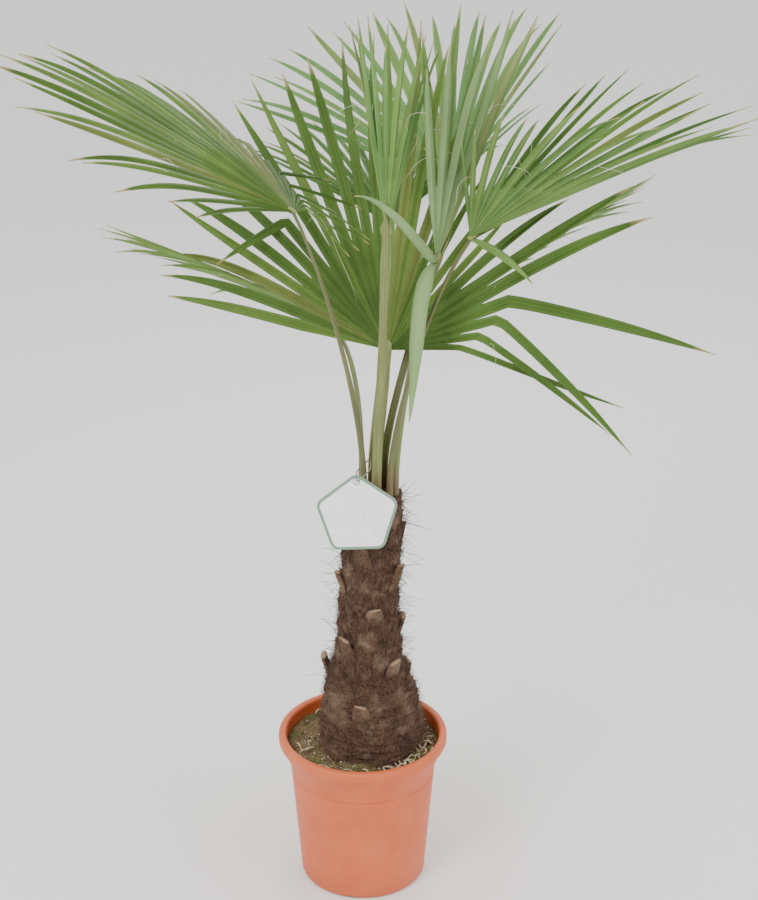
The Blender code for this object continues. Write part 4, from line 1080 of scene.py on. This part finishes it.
def limp_grid(leaf, tip, heading, slope, half_width):
    """A torn leaflet on one curve from the hub to its hanging tip, folded to a V along its middle."""
    rows = WEB_ROWS + FREE_ROWS
    tip = np.array(tip)
    chord = unit(tip - leaf.hub)
    start_way = heading_vector(heading, slope)
    path = smooth_path(leaf.hub, start_way, tip, unit(chord - UP * LIMP_SAG), rows)
    t = np.linspace(0, 1, rows)
    half = (half_width * np.interp(t, LIMP_SHARES, LIMP_WIDTHS))[:, None, None]
    ways = unit(np.gradient(path, axis=0))
    out = unit(np.cross(start_way, chord))
    across = unit(out - ways * (ways @ out)[:, None])
    up = np.cross(across, ways)
    level = np.linspace(-1.0, 1.0, LEAF_COLUMNS)[:, None]
    points = path[:, None] + across[:, None] * half * level + up[:, None] * half * np.abs(level) * LIMP_FOLD
    uv = np.stack(np.broadcast_arrays(level[:, 0] * 0.5 + 0.5, t[:, None]), axis=-1)
    return points[None], uv[None]


def leaf_finishes(leaf):
    """Upper and under finish of each tone, in the order of LEAF_TONES."""
    name = leaf.name
    top, under = LEAF_TINTS[name]
    # Fans b and f take the bluish pale; on fan b it is part of the painted sky sheen
    pale = LEAF_PALE_BLUISH if name in "bf" else LEAF_PALE
    finishes = []
    for tone, toward, share, _ in LEAF_TONES:
        finishes += [leaf_material("palm_leaf_upper_" + tone + name, blend(top, toward, share),
                                   blend(pale, toward, share), LEAF_TIP, 0.52),
                     leaf_material("palm_leaf_under_" + tone + name, blend(under, toward, share),
                                   blend(LEAF_PALE_UNDER, toward, share), LEAF_TIP, 0.62)]
    return finishes


def make_blade(leaf):
    """One fan: its leaflets welded along the web and thickened, its underside in its own finish."""
    points, uv = leaflet_grid(leaf)
    for entry in leaf.limp:
        more, more_uv = limp_grid(leaf, *entry)
        points = np.concatenate([points, more])
        uv = np.concatenate([uv, more_uv])
    play = np.random.default_rng(leaf.seed + 200)
    odds = [tone[3] for tone in LEAF_TONES]
    tones = play.choice(2 * np.arange(len(LEAF_TONES)), len(points), p=odds)
    shades = tones.repeat((points.shape[1] - 1) * (LEAF_COLUMNS - 1)).astype(np.int32)
    made = add_piece("fan_" + leaf.name, points, leaf_finishes(leaf), ["frond_" + leaf.name],
                     uv=uv, sheet=True, crease=16, shades=shades)
    wall = made.modifiers.new("leaf thickness", "SOLIDIFY")
    wall.thickness = LEAF_THICK
    wall.offset = 0.0
    wall.material_offset = 1


def stalk_path(leaf, foot, axis, sink):
    """The stalk's curve: up out of the trunk, over to the hub and on under the blade, sinking away."""
    arrive = unit(unit(leaf.hub - foot) * (1 - leaf.arrive) + axis * leaf.arrive)
    end = leaf.hub - arrive * HUB_STEM_BELOW
    body = smooth_path(foot + UP * STALK_RUN, UP * STALK_RISE, end - arrive * STALK_RUN,
                       arrive * STALK_LANDING, STALK_ROWS)
    s = np.array(HUB_STEM_SHARES)[:, None]
    over = leaf.hub - sink * 0.6 + axis * HUB_STEM_ABOVE * s - sink * s * 0.6
    return np.vstack([foot - UP * STALK_FOOT_SINK, foot, body, over])


def make_stalk(leaf):
    """A section with a hollowed flat top and a round back, carried up the stalk's curve to a thin end.

    Its top faces the trunk's axis at the foot and turns smoothly to the blade's upper face.
    """
    _, axis, normal = blade_frame(leaf)
    base, tip_radius = leaf.stalk
    turn = math.radians(leaf.foot)
    ring = leaf.foot_ring
    foot = np.array([TRUNK_HEAD_X + ring * math.cos(turn), ring * math.sin(turn), TRUNK_TOP])
    path = stalk_path(leaf, foot, axis, normal * tip_radius * 0.55)
    over = len(HUB_STEM_TAPER)
    t = np.concatenate([[0.0, 0.0], np.linspace(0, 1, STALK_ROWS), np.ones(over)])
    radius = base + (tip_radius - base) * t
    radius[-over:] *= HUB_STEM_TAPER
    inward = unit(np.array([TRUNK_HEAD_X - foot[0], -foot[1], 0.0]))
    upper = inward * (1 - smooth_share(t))[:, None] + normal * smooth_share(t)[:, None]
    ways = unit(np.gradient(path, axis=0))
    side = unit(np.cross(ways, upper))
    top = np.cross(side, ways)
    sin = np.sin(turns(STALK_SIDES))
    above = np.maximum(sin, 0.0)
    raised = STALK_TOP * above ** 0.7 - STALK_HOLLOW * above ** 4 + STALK_BACK * np.minimum(sin, 0.0)
    section = side[:, None] * np.cos(turns(STALK_SIDES))[:, None] + top[:, None] * raised[:, None]
    rings = with_ends(path[:, None] + section * radius[:, None, None], path[:1, None], path[-1:, None])
    uv = tube_uv(t, STALK_SIDES)
    tints = STALK_TINTS[leaf.name in SLIM_STALKS]
    add_piece("stem_" + leaf.name, rings, [stalk_material("leaf_stalk_skin_" + leaf.name, *tints)],
              ["stalk_" + leaf.name], uv=uv)


def make_hub_crests():
    """The small raised crest where each stalk meets its blade: half sine out, cosine up, both flattened."""
    t = np.linspace(0, 1, 9)[:, None, None]
    turn = turns(18)[:, None]
    domes = []
    for leaf in FRONDS:
        side, axis, normal = blade_frame(leaf)
        size = leaf.stalk[1] * CREST_SIZE
        centre = leaf.hub + axis * size * 0.7 + normal * size * 0.15
        ring = side * np.cos(turn) + axis * CREST_LENGTH * np.sin(turn)
        rise = normal * np.cos(math.pi * t) * size * CREST_HEIGHT
        domes.append(centre + ring * np.sin(math.pi * t) * size - rise)
    add_piece("leaf_crests", np.array(domes), [mottled_material("leaf_crest_skin")])


def make_threads():
    """Fine pale threads that fray from the fans and sag, with a growing sine wave along X."""
    play = np.random.default_rng(111)
    starts, ways = [], []
    for leaf in FRONDS:
        _, way, _, _, length, _, _ = fan_of(leaf)
        chosen = play.choice(len(way), THREADS_PER_FAN, replace=False)
        reach = length[chosen] * play.uniform(*THREAD_STARTS, THREADS_PER_FAN)
        starts.append(leaf.hub + way[chosen] * reach[:, None])
        ways.append(unit(way[chosen] + 0.7 * unit(play.normal(size=(THREADS_PER_FAN, 3)))))
    start, way = np.concatenate(starts), np.concatenate(ways)
    count = len(start)
    t = np.linspace(0, 1, THREAD_ROWS)
    length = play.uniform(*THREAD_LENGTHS, count) * MM
    curl = unit(play.normal(size=(count, 3))) * 0.5
    paths = strand_paths(start, way, play.uniform(*THREAD_SAG, count), length, curl, THREAD_ROWS)
    phase = play.uniform(0, math.tau, (count, 1))
    paths[..., 0] += THREAD_WAVE * MM * np.sin(THREAD_WAVE_TURN * t + phase) * t
    radii = np.full((count, THREAD_ROWS), THREAD_RADIUS * MM) * np.clip(5 * (1 - t), 0, 1)
    add_strands("leaf_threads", paths, radii, 4, HAIR_ACROSS,
                mottled_material("frayed_leaf_thread"))


def make_spear():
    """The closed young leaf: a pleated oval section, thickest past its middle, from trunk to tip."""
    foot = np.array([TRUNK_HEAD_X, 0.0, TRUNK_TOP - 0.01])
    t = np.linspace(0, 1, SPEAR_ROWS)
    path = foot + (np.array(SPEAR_TIP) - foot) * t[:, None]
    turn = turns(SPEAR_SIDES)
    ridge = np.abs(np.sin(0.5 * SPEAR_PLEATS * turn)) ** 0.6
    pleats = 1.0 + SPEAR_PLEAT_DEPTH * smooth_share((t - 0.30) / 0.2)[:, None] * ridge
    reach = np.interp(t, SPEAR_SHARES, SPEAR_RADII)[:, None] * pleats
    section = np.stack([reach * np.cos(turn), reach * np.sin(turn) * SPEAR_FLATNESS, 0 * reach], axis=-1)
    rings = with_ends(path[:, None] + section, path[:1, None], path[-1:, None])
    uv = tube_uv(t * 0.9, SPEAR_SIDES)
    finish = leaf_material("young_folded_leaf", "#8aa55c", "#a9bf80", "#b9b07a", 0.45)
    add_piece("young_leaf", rings, [finish], ["spear"], uv=uv)


def on_label(points):
    """Points in the label's own upright plane brought to its place, tilted and rolled as it hangs."""
    place = np.array(Matrix.Translation(LABEL_CENTRE) @ Matrix.Rotation(LABEL_TILT, 4, "X")
                     @ Matrix.Rotation(LABEL_ROLL, 4, "Y"))
    return points @ place[:3, :3].T + place[:3, 3]


def label_outline(inset, depth, steps=14):
    """Five equal sides with rounded corners, drawn in by an inset and set at a depth."""
    radius = LABEL_CORNER - inset
    corner = math.pi / 2 + turns(LABEL_CORNERS)[:, None]
    turn = corner + math.pi / LABEL_CORNERS * np.linspace(-1, 1, steps)
    x = LABEL_CORNER_RING * np.cos(corner) + radius * np.cos(turn)
    z = LABEL_CORNER_RING * np.sin(corner) + radius * np.sin(turn)
    return np.stack([x.ravel(), np.full(x.size, depth), z.ravel()], axis=-1)


def make_label_trim():
    """The label's raised edge band and the ring round its hole, each a closed section carried round.

    Each point of the band's section is on one face of the card, at an inset and a height off it in mm.
    """
    half = LABEL_THICK * 0.5
    section = ((-1, -0.3, -0.15), (1, -0.3, 0.10), (1, 0.6, 0.25), (1, 4.2, 0.20), (1, 4.6, -0.2),
               (-1, 4.6, 0.2), (-1, 4.2, -0.35), (-1, 0.6, -0.45))
    band = np.stack([label_outline(inset * MM, face * half + high * MM)
                     for face, inset, high in section], axis=1)
    finish = mottled_material("pale_green_printed_border")
    add_piece("label_border", on_label(np.concatenate([band, band[:1]])), [finish], crease=35)
    height = LABEL_CORNER_RING + LABEL_CORNER - LABEL_HOLE_DROP
    turn = (np.arange(33) * math.tau / 32)[:, None]
    small = turns(8)
    radius = LABEL_HOLE_RADIUS + 0.8 * MM + 1.0 * MM * np.cos(small)
    depth = (half + 0.35 * MM) * np.sin(small) + 0 * turn
    ring = np.stack([radius * np.cos(turn), depth, height + radius * np.sin(turn)], axis=-1)
    add_piece("label_eyelet", on_label(ring), [finish])


def dress_frame_nodes():
    """Label card and its cord keep the frame's own solids and get real finishes."""
    for name, finish in (("label", "white_polystyrene_card"), ("label_tie", "twisted_hemp_cord")):
        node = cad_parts[name]
        node.data.materials.clear()
        node.data.materials.append(mottled_material(finish))


def make_floor():
    """A plain pale floor just under the pot."""
    mesh = bpy.data.meshes.new("floor")
    corners = [(x * FLOOR_HALF, y * FLOOR_HALF, -FLOOR_DROP) for x, y in ((-1, -1), (1, -1), (1, 1), (-1, 1))]
    mesh.from_pydata(corners, [], [(0, 1, 2, 3)])
    mesh.materials.append(start_material("matt_pale_floor", "#f0f0ee", 0.9)[0])
    floor = place_object("floor", mesh)


def light_and_camera():
    """White surround, a soft key from the upper left, a wide fill from the right and one behind."""
    world = bpy.data.worlds.new("studio")
    world.use_nodes = True
    back = world.node_tree.nodes["Background"]
    back.inputs[0].default_value = (1.0, 1.0, 1.0, 1.0)
    back.inputs[1].default_value = WORLD_STRENGTH
    bpy.context.scene.world = world
    for name, place, aim_height, size, power in LIGHTS:
        lamp = bpy.data.lights.new(name, "AREA")
        lamp.size = size
        lamp.energy = power
        made = place_object(name, lamp)
        made.location = place
        made.rotation_euler = (Vector((0, 0, aim_height)) - Vector(place)).to_track_quat("-Z", "Y").to_euler()
    lens = bpy.data.cameras.new("camera")
    lens.sensor_fit = "VERTICAL"
    lens.sensor_height = SENSOR_HEIGHT
    lens.lens = SENSOR_HEIGHT * FOCAL_PIXELS / FRAME_HEIGHT
    camera = place_object("camera", lens)
    camera.location = CAMERA_PLACE
    camera.rotation_euler = (math.radians(CAMERA_PITCH), 0.0, 0.0)
    bpy.context.scene.camera = camera


make_pot()
make_soil()
make_moss()
make_soil_roots()
make_chips()
make_trunk()
make_stubs()
make_hairs()
for leaf in FRONDS:
    make_blade(leaf)
    make_stalk(leaf)
make_hub_crests()
make_threads()
make_spear()
make_label_trim()
dress_frame_nodes()
make_floor()
light_and_camera()
